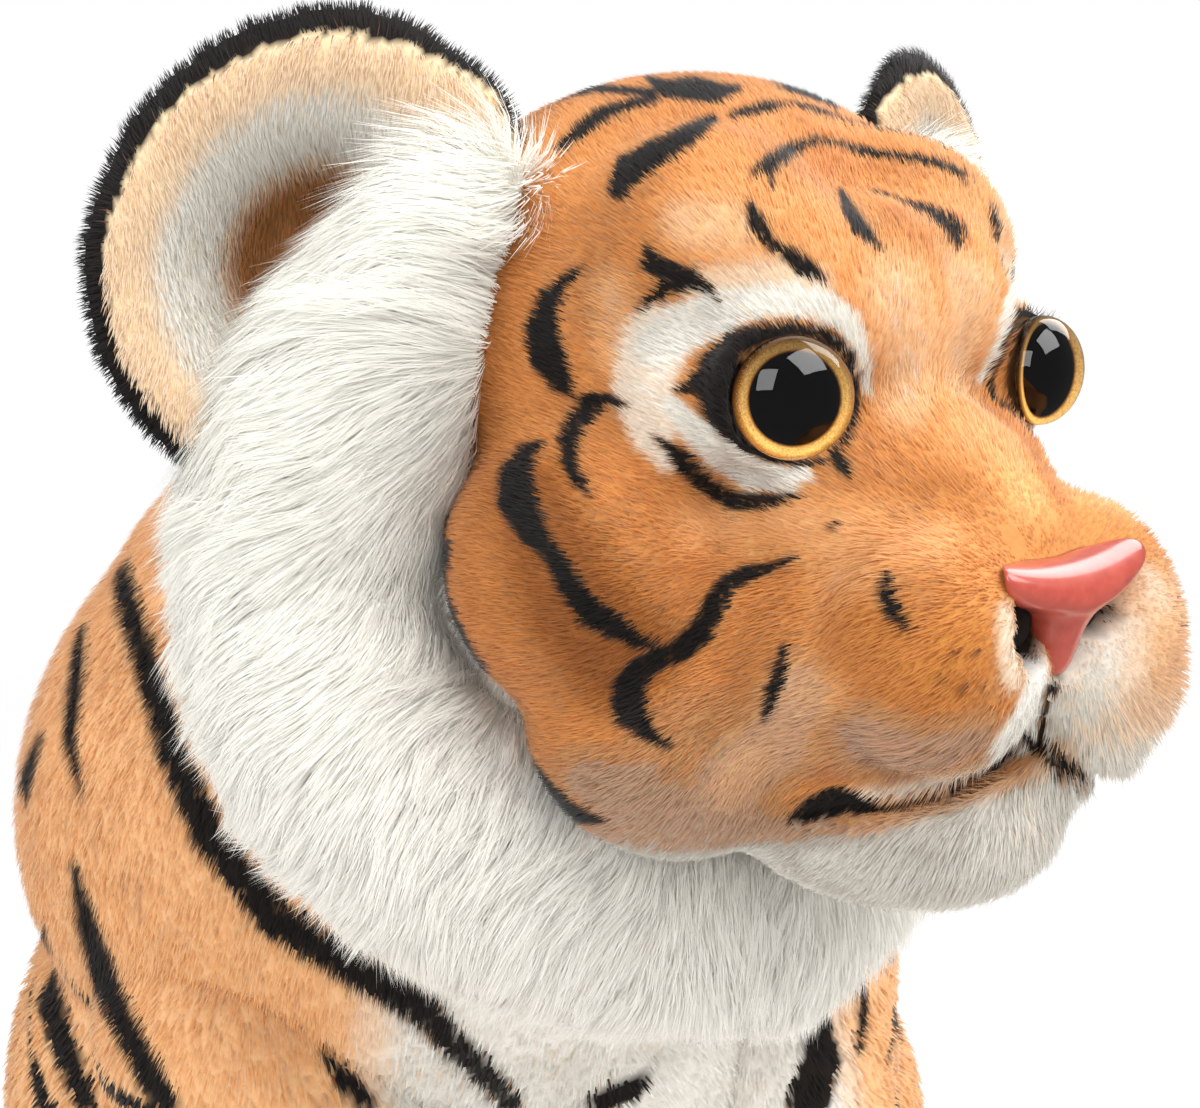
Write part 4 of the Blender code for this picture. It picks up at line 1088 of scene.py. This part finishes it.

# %% [markdown]
# ## Eyes and nose
#
# The eyes are moulded domes of clear plastic, painted on their flat backs: a black pupil in
# a ring of gold lacquer. Modelled, that is a dome of clear acrylic over a thin disc. The
# disc's colours go by the distance from the eye's axis, with fine flecks. Over that it has
# painted light and shade: the ring is painted brighter below, where the dome gathers the
# light, and much darker above, where the lid shades it.

# %% Eyes
def eye_paint(name, middle, axis):
    """Lacquer on the back of the eye: a black pupil in a gold ring, by the distance from
    the eye's axis, with painted light below and painted shade above."""
    made, tree = new_material(name)
    where = add_node(tree, "ShaderNodeTexCoord")
    away = add_node(tree, "ShaderNodeVectorMath", ((where.outputs["Object"], 0),),
                    operation='SUBTRACT')
    away.inputs[1].default_value = middle
    crossed = add_node(tree, "ShaderNodeVectorMath", ((away.outputs[0], 0),),
                       operation='CROSS_PRODUCT')
    crossed.inputs[1].default_value = axis / EYE_RADIUS
    reach = add_node(tree, "ShaderNodeVectorMath", ((crossed.outputs[0], 0),),
                     operation='LENGTH')
    ring = add_node(tree, "ShaderNodeValToRGB", ((reach.outputs["Value"], "Fac"),))
    ramp = ring.color_ramp
    while len(ramp.elements) < len(IRIS_RINGS):
        ramp.elements.new(0.5)
    for element, (place, colour) in zip(ramp.elements, IRIS_RINGS):
        element.position = place
        element.color = (*linear(colour), 1.0)
    fleck = add_node(tree, "ShaderNodeTexNoise", ((where.outputs["Object"], "Vector"),),
                     Scale=1.0 / (FLECK_MM * MM), Detail=3.0)
    spark = add_node(tree, "ShaderNodeMapRange", ((fleck.outputs["Fac"], "Value"),),
                     From_Min=0.3, From_Max=0.7, To_Min=0.6, To_Max=1.35)
    # Painted light and shade: the ring is brighter below and darker above, by its height.
    height = add_node(tree, "ShaderNodeSeparateXYZ", ((away.outputs[0], 0),))
    shade = add_node(tree, "ShaderNodeMapRange", ((height.outputs["Z"], "Value"),),
                     From_Min=-EYE_RADIUS, From_Max=0.7 * EYE_RADIUS, To_Min=1.15, To_Max=0.22)
    both = add_node(tree, "ShaderNodeMath", ((spark.outputs[0], 0), (shade.outputs[0], 1)),
                    operation='MULTIPLY')
    gold = add_node(tree, "ShaderNodeVectorMath", ((ring.outputs[0], 0),
                                                   (both.outputs[0], 1)),
                    operation='MULTIPLY')
    surface = add_node(tree, "ShaderNodeBsdfPrincipled", ((gold.outputs[0], "Base Color"),),
                       Roughness=0.5, Specular_IOR_Level=0.0)
    add_node(tree, "ShaderNodeOutputMaterial", ((surface.outputs[0], "Surface"),))
    return made


def clear_acrylic():
    """Polished clear acrylic. It lets lamps through to the paint behind it."""
    made, tree = new_material("clear acrylic, polished")
    path = add_node(tree, "ShaderNodeLightPath")
    glass = add_node(tree, "ShaderNodeBsdfPrincipled", Roughness=0.0, IOR=1.49,
                     Transmission_Weight=1.0)
    clear = add_node(tree, "ShaderNodeBsdfTransparent")
    both = add_node(tree, "ShaderNodeMixShader", ((path.outputs["Is Shadow Ray"], 0),
                                                  (glass.outputs[0], 1),
                                                  (clear.outputs[0], 2)))
    add_node(tree, "ShaderNodeOutputMaterial", ((both.outputs[0], "Surface"),))
    return made


IRIS_RINGS = ((0.0, "020202"), (0.585, "020202"), (0.60, "7A4A18"), (0.63, "E2AC5C"),
              (0.70, "F2BE68"), (0.76, "B97C36"), (0.83, "8A5826"), (0.92, "4A2A10"),
              (1.0, "1A0E06"))
FLECK_MM = 0.35
DISC_SHARE = 0.97
DISC_THICKNESS = 0.0006
DISC_BACK = 0.0012
eyes = {}
discs = {}
acrylic = clear_acrylic()
for name, side in (("left", 1.0), ("right", -1.0)):
    axis = eye_axis(side)
    middle = eye_middle(side)
    turned = axis.to_track_quat('Z', 'Y').to_matrix().to_4x4()
    deselect()
    bpy.ops.mesh.primitive_uv_sphere_add(segments=64, ring_count=40, radius=EYE_RADIUS)
    eye = bpy.context.object
    eye.name = "eye_dome_" + name
    eye.matrix_world = (Matrix.Translation(middle) @ turned
                        @ Matrix.Diagonal((1.0, 1.0, EYE_DEPTH, 1.0)))
    deselect()
    eye.select_set(True)
    bpy.ops.object.transform_apply(location=True, rotation=True, scale=True)
    bpy.ops.object.shade_smooth()
    eye.data.materials.append(acrylic)
    deselect()
    bpy.ops.mesh.primitive_cylinder_add(vertices=64, radius=EYE_RADIUS * DISC_SHARE,
                                        depth=DISC_THICKNESS)
    disc = bpy.context.object
    disc.name = "eye_paint_" + name
    disc.matrix_world = Matrix.Translation(middle - axis * DISC_BACK) @ turned
    bpy.ops.object.transform_apply(location=True, rotation=True, scale=True)
    disc.data.materials.append(eye_paint("gold and black lacquer, " + name, middle, axis))
    eyes[name], discs[name] = eye, disc
    print(eye.name, "radius", EYE_RADIUS)

# %% [markdown]
# The nose is one soft vinyl moulding: a bar with two wings over a narrow stem. It has a
# satin shine that is brightest along its upper edge. Modelled, it is a sphere whose rings
# are moved to a list of levels, each with its height, half width, front and side. The
# nostrils are two black lobes sunk in the pits beside the stem, and the pits are painted
# black as well: painted shade for the dark under the wings.

# %% Nose
NOSE_LEVELS = ((-36.8, 12.0, -48.0, -46.5), (-37.3, 20.0, -51.0, -48.5),
               (-38.6, 22.6, -54.0, -50.8), (-40.8, 23.2, -56.0, -51.8),
               (-43.2, 22.2, -56.8, -51.4), (-45.6, 18.6, -56.8, -49.8),
               (-47.3, 12.4, -56.0, -47.6), (-48.8, 8.6, -54.8, -46.0),
               (-51.5, 7.0, -53.0, -45.0), (-55.0, 6.2, -51.2, -44.6),
               (-58.5, 5.8, -49.7, -44.2), (-61.8, 4.9, -48.2, -44.0),
               (-63.8, 3.3, -46.8, -43.8), (-64.8, 0.4, -45.0, -43.6))
NOSE_RINGS = 60
NOSE_BACK = 4.0
NOSE_DIP = 2.2
NOSTRILS = {"left": (9.5, -43.0, -50.5), "right": (-13.0, -43.0, -50.5)}
NOSTRIL_HALVES = (5.5, 4.0, 6.5)
NOSE_ASIDE = -0.8
NOSE_SLIM = 0.97
NOSE_DROP = 0.5
DIP_REACH = 20.0
NOSTRIL_VOXEL, NOSTRIL_ROUNDS = 0.0012, 2
deselect()
bpy.ops.mesh.primitive_uv_sphere_add(segments=72, ring_count=NOSE_RINGS, radius=1.0)
nose = bpy.context.object
nose.name = "nose_moulding"
levels = smooth_line(NOSE_LEVELS, NOSE_RINGS + 1)
for vertex in nose.data.vertices:
    ring = round(math.acos(max(min(vertex.co.z, 1.0), -1.0)) / math.pi * NOSE_RINGS)
    height, half, front, side_y = levels[ring]
    turn = math.atan2(vertex.co.y, vertex.co.x)
    pole = ring in (0, NOSE_RINGS)
    x = 0.0 if pole else NOSE_SLIM * half * math.cos(turn)
    bulge = 0.0 if pole else math.sin(turn)
    y = side_y + (bulge * (side_y - front) if bulge < 0 else bulge * NOSE_BACK)
    vertex.co = on_head(x + NOSE_ASIDE, y, height - NOSE_DROP + NOSE_DIP * (x / DIP_REACH) ** 2)
bpy.ops.object.shade_smooth()
print(nose.name, len(nose.data.polygons), "faces")
nostrils = {}
for name, place in NOSTRILS.items():
    deselect()
    ball = lobe(on_head(*place), Vector(NOSTRIL_HALVES) * MM)
    nostrils[name] = melt("nostril_" + name, [ball], NOSTRIL_VOXEL, NOSTRIL_ROUNDS)


def noisy_surface(name, low, high, grain_mm, **finish):
    """A surface whose colour wanders between two tones at a grain size in millimetres."""
    made, tree = new_material(name)
    where = add_node(tree, "ShaderNodeTexCoord")
    grain = add_node(tree, "ShaderNodeTexNoise", ((where.outputs["Object"], "Vector"),),
                     Scale=1.0 / (grain_mm * MM), Detail=3.0)
    tone = add_node(tree, "ShaderNodeValToRGB", ((grain.outputs["Fac"], "Fac"),))
    for element, place, colour in zip(tone.color_ramp.elements, (0.3, 0.7), (low, high)):
        element.position = place
        element.color = (*linear(colour), 1.0)
    surface = add_node(tree, "ShaderNodeBsdfPrincipled", ((tone.outputs[0], "Base Color"),),
                       **finish)
    add_node(tree, "ShaderNodeOutputMaterial", ((surface.outputs[0], "Surface"),))
    return made


nose.data.materials.append(noisy_surface("soft vinyl nose, satin", "AC4438", "BA5142", 3.0,
                                         Roughness=0.32, Coat_Weight=0.7,
                                         Coat_Roughness=0.16))
# The nostril lobes are black, as painted shade for the dark of the pits.
nostril_painted_shade = noisy_surface("black nostril pits, painted shade", "120E0D", "1E1816", 1.0, Roughness=0.95)
for piece in nostrils.values():
    piece.data.materials.append(nostril_painted_shade)

# %% [markdown]
# ## Pile
#
# The pile is made of real strands, each a narrow ribbon that leans the way the fur is
# combed. Modelling operators can't lay so many, so they are computed as arrays. Dyed pile is
# never of one tone, so every strand takes the dye that is nearest to the coat's colour under
# it, painted shade and highlight included, out of 29, after a little random change.

# %% Dyes
DYES = ("1C1816", "38302B", "5E4030", "8C5A36", "A8672F", "BC7838", "CB8643", "D8934E",
        "E2A05A", "E9AE6C", "EEBA80", "F1C896", "D9AE8C", "E3C3A4", "EDD6BC", "F1E3D2",
        "C8C2B8", "DEDAD2", "ECE9E2", "F6F4EF", "FCFCF6",
        "A27A56", "C4A084", "D2A06C", "C98F5A", "B8834E", "E0B68A", "F5DFC4", "9A5E2A")
SHINE_PATCH_MM = 6.0
DULL_LOCK, SHINY_LOCK = 0.1, 0.45
LIGHT_THROUGH = 0.35
TONE_POWER = 1 / 2.2


def strand_dye(name, colour):
    """Polyester pile of one dye. It shines a little more where locks of it lie smooth, and
    lets some light through, as thin fibres do."""
    made, tree = new_material(name)
    where = add_node(tree, "ShaderNodeTexCoord")
    lock = add_node(tree, "ShaderNodeTexNoise", ((where.outputs["Object"], "Vector"),),
                    Scale=1.0 / (SHINE_PATCH_MM * MM))
    shine = add_node(tree, "ShaderNodeMapRange", ((lock.outputs["Fac"], "Value"),),
                     To_Min=DULL_LOCK, To_Max=SHINY_LOCK)
    fibre = add_node(tree, "ShaderNodeBsdfPrincipled",
                     ((shine.outputs[0], "Specular IOR Level"),),
                     Base_Color=(*colour, 1.0), Roughness=0.62,
                     Sheen_Weight=0.25, Sheen_Roughness=0.5)
    through = add_node(tree, "ShaderNodeBsdfTranslucent", Color=(*colour, 1.0))
    both = add_node(tree, "ShaderNodeMixShader", ((fibre.outputs[0], 1),
                                                  (through.outputs[0], 2)), Fac=LIGHT_THROUGH)
    add_node(tree, "ShaderNodeOutputMaterial", ((both.outputs[0], "Surface"),))
    return made


dyes = [strand_dye("polyester pile, dye " + colour, linear(colour)) for colour in DYES]
DYE_TONES = np.array([linear(colour) for colour in DYES]) ** TONE_POWER


def nearest_dye(colours, draw, jitter):
    """The dye number for each strand, after a random change of brightness."""
    tones = np.clip(colours, 0.0, 1.0) ** TONE_POWER
    tones = tones * (1.0 + draw.normal(0.0, jitter, (len(tones), 1)))
    tones = tones + draw.normal(0.0, jitter * 0.3, tones.shape)
    gaps = np.linalg.norm(tones[:, None] - DYE_TONES[None], axis=2)
    return np.argmin(gaps, axis=1)


# %% Roots of the strands
def roots_on(piece, per_mm2, draw):
    """Random places on a skin with their normals, evenly by area."""
    mesh = piece.data
    mesh.calc_loop_triangles()
    count = len(mesh.loop_triangles)
    corners = np.empty(count * 3, int)
    mesh.loop_triangles.foreach_get("vertices", corners)
    corners = corners.reshape(-1, 3)
    points = skin_points(piece)
    normals = np.empty(len(mesh.vertices) * 3)
    mesh.vertices.foreach_get("normal", normals)
    normals = normals.reshape(-1, 3)
    first, second, third = (points[corners[:, place]] for place in range(3))
    areas = 0.5 * np.linalg.norm(np.cross(second - first, third - first), axis=1)
    number = int(areas.sum() / MM ** 2 * per_mm2)
    chosen = corners[draw.choice(count, number, p=areas / areas.sum())]
    first, second = draw.random((2, number, 1))
    over = first + second > 1.0
    first, second = np.where(over, 1.0 - first, first), np.where(over, 1.0 - second, second)
    shares = np.concatenate((1.0 - first - second, first, second), axis=1)[:, :, None]
    ups = (normals[chosen] * shares).sum(axis=1)
    return ((points[chosen] * shares).sum(axis=1),
            ups / np.linalg.norm(ups, axis=1, keepdims=True))


def outside(points, tree, depth, search=0.05):
    """Which points aren't more than a depth inside a closed skin."""
    kept = np.ones(len(points), bool)
    for number, point in enumerate(points):
        place, normal, _, _ = tree.find_nearest(Vector(point), search)
        if place is not None and (Vector(point) - place).dot(normal) < -depth:
            kept[number] = False
    return kept


def unit(rows):
    """Rows of vectors at length 1."""
    return rows / np.maximum(np.linalg.norm(rows, axis=1, keepdims=True), 1e-9)


def combed(normals, wish):
    """The wished directions, laid flat on the skin."""
    return unit(wish - normals * (normals * wish).sum(axis=1, keepdims=True))


# %% Strands into a mesh
CURL = 0.25
STEPS = 2
ROOT_SINK = 0.0004
TAPER = 0.14
PULL_POWER = 1.5


def lay_strands(name, body, roots, ups, combs, lengths, widths, leans, colours, draw,
                jitter=0.03, pulls=None, untidy=0.07, soft_share=0.8):
    """One piece of pile. Each strand bends from its first lean to its last over its steps."""
    count = len(roots)
    centres = [roots - ups * ROOT_SINK]
    sway = draw.normal(0.0, untidy, (count, 3))
    for step in range(STEPS):
        part = step / (STEPS - 1)
        lean = np.radians(leans[0] + (leans[1] - leans[0]) * part)
        way = unit(ups * np.cos(lean) + combs * np.sin(lean) + sway)
        centres.append(centres[-1] + way * (lengths / STEPS)[:, None])
    if pulls is not None:
        for step in range(1, STEPS + 1):
            centres[step] = centres[step] + pulls * (step / STEPS) ** PULL_POWER
    twist = draw.normal(0.0, CURL, (count, 1))
    across = unit(np.cross(unit(centres[-1] - centres[0]), ups))
    across = unit(across * np.cos(twist) + ups * np.sin(twist))
    rows, soft = [], []
    for step in range(STEPS):
        half = across * (widths * (0.5 - TAPER * step / STEPS))[:, None]
        rows += [centres[step] - half, centres[step] + half]
        way = unit(centres[step + 1] - centres[step])
        face = unit(np.cross(half, way))
        face = face * np.sign((face * ups).sum(axis=1, keepdims=True))
        soft += [unit(ups * soft_share + face * (1.0 - soft_share))] * 2
    rows.append(centres[STEPS])
    soft.append(soft[-1])
    corners = 2 * STEPS + 1
    pattern, sizes = [], []
    for step in range(STEPS - 1):
        low = 2 * step
        pattern += [low, low + 1, low + 3, low + 2]
        sizes.append(4)
    pattern += [2 * STEPS - 2, 2 * STEPS - 1, 2 * STEPS]
    sizes.append(3)
    vertices = np.stack(rows, axis=1).reshape(-1, 3)
    vertices[:, 2] = np.maximum(vertices[:, 2], GROUND)
    loops = (np.arange(count)[:, None] * corners + np.array(pattern)).ravel()
    totals = np.tile(sizes, count)
    starts = np.concatenate(([0], np.cumsum(totals)[:-1]))
    mesh = bpy.data.meshes.new(name)
    mesh.vertices.add(len(vertices))
    mesh.vertices.foreach_set("co", vertices.ravel())
    mesh.loops.add(len(loops))
    mesh.loops.foreach_set("vertex_index", loops)
    mesh.polygons.add(len(totals))
    mesh.polygons.foreach_set("loop_start", starts)
    for material in dyes:
        mesh.materials.append(material)
    numbers = np.repeat(nearest_dye(colours, draw, jitter), len(sizes))
    mesh.polygons.foreach_set("material_index", numbers)
    mesh.polygons.foreach_set("use_smooth", np.ones(len(totals), bool))
    mesh.update(calc_edges=True)
    mesh.validate()
    normals = np.stack(soft, axis=1).reshape(-1, 3)
    mesh.normals_split_custom_set_from_vertices(normals)
    piece = bpy.data.objects.new(name, mesh)
    bpy.context.collection.objects.link(piece)
    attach(piece, body)
    print(name, count, "strands,", count * (2 * STEPS - 1), "triangles")


# %% [markdown]
# The face's pile is about 4 mm long. It's combed away from the nose, as fur grows on a cat.
# The strand's colour is the coat's colour at the strand's middle, print and painted light
# alike, which is what is seen.

# %% Pile of the head
def seen_middle(roots, ups, combs, lengths, lean):
    """About the middle of each strand."""
    turn = math.radians(lean)
    return roots + (ups * math.cos(turn) + combs * math.sin(turn)) * lengths[:, None] * 0.55


def thinned(kept, *rows):
    """The same choice of rows from several arrays."""
    return [row[kept] for row in rows]


FACE_PER_MM2 = 1.9
FAR_SHARE = 0.45
FACE_PILE = 0.0044
FACE_STRAND = 0.00032
FACE_LEANS = (56.0, 76.0)
NOSE_TIP = np.array(on_head(0.0, -52.0, -44.0))
draw = np.random.default_rng(11)
roots, ups = roots_on(head_skin, FACE_PER_MM2, draw)
seen = draw.random(len(roots)) < 1.0 - (1.0 - FAR_SHARE) * step_up(roots[:, 0], 0.0, 0.04)
roots, ups = thinned(seen, roots, ups)
for piece, depth, search in ((ruff_skin, 0.003, 0.05), (neck_skin, 0.003, 0.05),
                             (nose, 0.0, 0.008), (nostrils["left"], 0.0, 0.008),
                             (nostrils["right"], 0.0, 0.008)):
    roots, ups = thinned(outside(roots, tree_of(piece), depth, search), roots, ups)
for side in (1.0, -1.0):
    middle = np.array(eye_middle(side))
    roots, ups = thinned(np.linalg.norm(roots - middle, axis=1) > EYE_RADIUS * 0.99,
                         roots, ups)
combs = combed(ups, unit(roots - NOSE_TIP) + 0.16 * waves(roots, 24.0))
near_nose = np.linalg.norm(roots - NOSE_TIP, axis=1)
lengths = FACE_PILE * draw.uniform(0.75, 1.2, len(roots))
lengths = lengths * (0.45 + 0.55 * step_up(near_nose, 0.015, 0.045))
lips = step_up(-roots[:, 2], -(EYES.z - 0.062), -(EYES.z - 0.074)) * step_up(
    -roots[:, 1], -(EYES.y - 0.012), -(EYES.y - 0.024))
lengths = lengths * (1.0 + 0.45 * lips)
colours = head_coat(seen_middle(roots, ups, combs, lengths, 64.0))
crown, front = roots[:, 2] > EYES.z + 0.030, roots[:, 1] < EYES.y + 0.012
left = roots[:, 0] > 0
for name, part in (("crown", crown), ("muzzle", ~crown & front), ("cheek", ~crown & ~front)):
    for side_name, side in (("left", left), ("right", ~left)):
        chosen = part & side
        lay_strands("pile_%s_%s" % (name, side_name), "head",
                    *thinned(chosen, roots, ups, combs, lengths),
                    np.full(chosen.sum(), FACE_STRAND), FACE_LEANS, colours[chosen], draw)

# %% [markdown]
# The ruff is long pile of 13 to 32 mm. It springs up from its backing, falls outward and
# down, and gathers in tufts, so each strand is drawn towards the middle of its tuft.

# %% Pile of the ruff
RUFF_PER_MM2 = 2.0
RUFF_FAR_SHARE = 0.5
RUFF_PILE = 0.0195
RUFF_TOP_EXTRA = 0.008
RUFF_STRAND = 0.0002
RUFF_UNDER = 0.0005
FINE_SHARE = 0.72
RUFF_LEANS = (60.0, 88.0)
TUFT_SHARE = 0.02
TIP_SCATTER = 0.0016
TUFT_PULL = 0.2
FACE_CENTRE = np.array(on_head(0.0, 60.0, -30.0))


def tuft_pulls(roots, draw, strength):
    """How far the tip of each strand is drawn towards the middle of its tuft."""
    number = max(int(len(roots) * TUFT_SHARE), 8)
    middles = roots[draw.choice(len(roots), number, replace=False)]
    finder = kdtree.KDTree(number)
    for index, middle in enumerate(middles):
        finder.insert(middle, index)
    finder.balance()
    nearest = np.array([finder.find(root)[1] for root in roots])
    scatter = draw.normal(0.0, TIP_SCATTER, middles.shape)
    return (middles[nearest] - roots) * strength + scatter[nearest]


draw = np.random.default_rng(12)
roots, ups = roots_on(ruff_skin, RUFF_PER_MM2, draw)
for piece in (torso_skin, neck_skin, head_skin):
    roots, ups = thinned(outside(roots, tree_of(piece), 0.004), roots, ups)
kept = (roots[:, 0] < 0.0) | (draw.random(len(roots)) < RUFF_FAR_SHARE)
roots, ups = thinned(kept, roots, ups)
radial = unit((roots - FACE_CENTRE) * np.array((1.0, 0.6, 1.0)))
high = step_up(roots[:, 2], EYES.z - 0.05, EYES.z + 0.03)
radial[:, 2] *= 1.0 - high
fall = np.array((0.0, 0.35, -0.42)) * np.where(high > 0, 1.0 - 0.5 * high, 1.0)[:, None]
sway = 0.34 * waves(roots, 13.0) + 0.26 * waves(roots, 40.0)
combs = combed(ups, radial * 0.85 + fall + sway)
lengths = (RUFF_PILE + RUFF_TOP_EXTRA * high) * draw.uniform(0.65, 1.15, len(roots))
fine = draw.random(len(roots)) < FINE_SHARE
pulls = tuft_pulls(roots, draw, TUFT_PULL)
colours = ruff_coat(roots)
left = roots[:, 0] > 0
above = roots[:, 2] > EYES.z - 0.075
for side_name, side in (("left", left), ("right", ~left)):
    for part_name, part in (("upper", above), ("lower", ~above)):
        chosen = side & part
        lay_strands("pile_ruff_%s_%s" % (part_name, side_name), "head",
                    *thinned(chosen, roots, ups, combs, lengths),
                    np.where(fine[chosen], RUFF_STRAND, RUFF_UNDER), RUFF_LEANS,
                    colours[chosen], draw, jitter=0.02, pulls=pulls[chosen], untidy=0.08,
                    soft_share=0.95)

# %% [markdown]
# The ears carry short cream pile in front, and slightly shorter black pile behind and round
# the rim. The body's pile is about 7 mm long and lies down and back.

# %% Pile of the ears and the body
EAR_PER_MM2 = 1.5
EAR_PILE, EAR_STRAND = 0.0052, 0.00036
EAR_BLACK_PILE, EAR_BLACK_STRAND = 0.0048, 0.0003
EAR_LEANS = (50.0, 72.0)
BURIED = 0.004
for number, (name, side) in enumerate((("left", 1.0), ("right", -1.0))):
    draw = np.random.default_rng(20 + number)
    roots, ups = roots_on(ears[name], EAR_PER_MM2, draw)
    for piece in (head_skin, ruff_skin):
        roots, ups = thinned(outside(roots, tree_of(piece), BURIED), roots, ups)
    middle, outward, up, forward = (np.array(value) for value in ear_frame(side))
    colours = ear_coat(roots)
    dark = colours.sum(axis=1) < 0.4
    wish = np.where(dark[:, None], 0.4 * unit(roots - middle) - forward,
                    np.array((0.0, 0.0, -1.0)))
    combs = combed(ups, wish + 0.25 * waves(roots, 20.0))
    lengths = np.where(dark, EAR_BLACK_PILE, EAR_PILE) * draw.uniform(0.75, 1.1, len(roots))
    lay_strands("pile_ear_" + name, "head", roots, ups, combs, lengths,
                np.where(dark, EAR_BLACK_STRAND, EAR_STRAND), EAR_LEANS, colours, draw,
                untidy=0.09)

BODY_PER_MM2 = 0.47
LOW_SHARE = 0.28
UPPER_BODY = 0.27
FINE_TO = 0.10
BODY_PILE = 0.0068
BODY_STRAND = 0.00045
LOW_STRAND = 0.0011
BODY_LEANS = (58.0, 76.0)


def body_pile(name, body, piece, coat, draw, hidden, wish, parts):
    """Cover one body skin with pile, in as many pieces as there are parts."""
    roots, ups = roots_on(piece, BODY_PER_MM2, draw)
    fine = (roots[:, 2] > UPPER_BODY) & (roots[:, 0] < FINE_TO)
    roots, ups = thinned(fine | (draw.random(len(roots)) < LOW_SHARE), roots, ups)
    for other in hidden:
        roots, ups = thinned(outside(roots, tree_of(other), BURIED), roots, ups)
    roots, ups = thinned((ups[:, 2] > -0.85) | (roots[:, 2] > 0.02), roots, ups)
    combs = combed(ups, wish(roots) + 0.2 * waves(roots, 40.0))
    lengths = BODY_PILE * draw.uniform(0.75, 1.15, len(roots))
    colours = coat(seen_middle(roots, ups, combs, lengths, 66.0))
    for part_name, chosen in parts(roots).items():
        lay_strands("pile_" + name + part_name, body,
                    *thinned(chosen, roots, ups, combs, lengths),
                    np.where((roots[chosen, 2] > UPPER_BODY) & (roots[chosen, 0] < FINE_TO),
                             BODY_STRAND, LOW_STRAND),
                    BODY_LEANS, colours[chosen], draw)


def down_and_back(roots):
    """Body pile lies down, and a little away from the middle of the chest."""
    return np.array((0.0, 0.25, -1.0)) + np.sign(roots[:, :1]) * np.array((0.25, 0.0, 0.0))


def along_tail(roots):
    """Tail pile lies towards the tip."""
    return np.array((0.8, 0.35, -0.2)) + 0.0 * roots


def whole(roots):
    """All strands in one piece."""
    return {"": np.ones(len(roots), bool)}


def quarters(roots):
    """Strands in four pieces: upper and lower, left and right."""
    levels = (("upper", roots[:, 2] > UPPER_BODY), ("lower", roots[:, 2] <= UPPER_BODY))
    halves = (("left", roots[:, 0] > 0), ("right", roots[:, 0] <= 0))
    return {"_%s_%s" % (level, side): high & near
            for level, high in levels for side, near in halves}


body_pile("torso", "torso", torso_skin, body_coat, np.random.default_rng(31),
          (*skins.values(), ruff_skin), down_and_back, quarters)
for number, (name, piece) in enumerate(skins.items()):
    body_pile(name, "torso", piece, body_coat, np.random.default_rng(32 + number),
              (torso_skin,), down_and_back, whole)
body_pile("neck", "head", neck_skin, neck_coat, np.random.default_rng(41),
          (torso_skin, ruff_skin, head_skin), down_and_back, whole)
body_pile("tail", "tail", tail_skin, tail_coat, np.random.default_rng(40), (torso_skin,),
          along_tail, whole)

# %% [markdown]
# ## Into the frame
#
# Every piece rides on the CAD body it belongs to, and the skins stand for the CAD's simple
# solids. The washers that hold the eyes and the nose sit inside, so they keep their CAD
# shape and get moulded nylon.

# %% Bodies, slots and replaced solids
nylon = noisy_surface("moulded nylon washer", "D8D6CE", "E4E2DA", 2.0, Roughness=0.5)
for name in ("eye_washer_left", "eye_washer_right", "nose_washer"):
    washer = bpy.data.objects[name]
    washer.material_slots[0].link = 'OBJECT'
    washer.material_slots[0].material = nylon
for piece in (head_skin, ruff_skin, neck_skin, nose, *ears.values(), *eyes.values(),
              *discs.values(), *nostrils.values()):
    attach(piece, "head")
for piece in (torso_skin, *skins.values()):
    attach(piece, "torso")
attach(tail_skin, "tail")
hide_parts("head_cover", "head_filling", "muzzle", "chin")
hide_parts("ruff_left", "ruff_right")
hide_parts("neck")
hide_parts("nose")
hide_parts("torso_cover", "torso_filling")
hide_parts("tail", "tail_tip")
for name in ("left", "right"):
    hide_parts("ear_front_" + name, "ear_back_" + name)
    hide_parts("eye_lens_" + name)
    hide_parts("eye_shank_" + name)
    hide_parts("front_leg_" + name)
    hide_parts("haunch_" + name, "hind_foot_" + name)
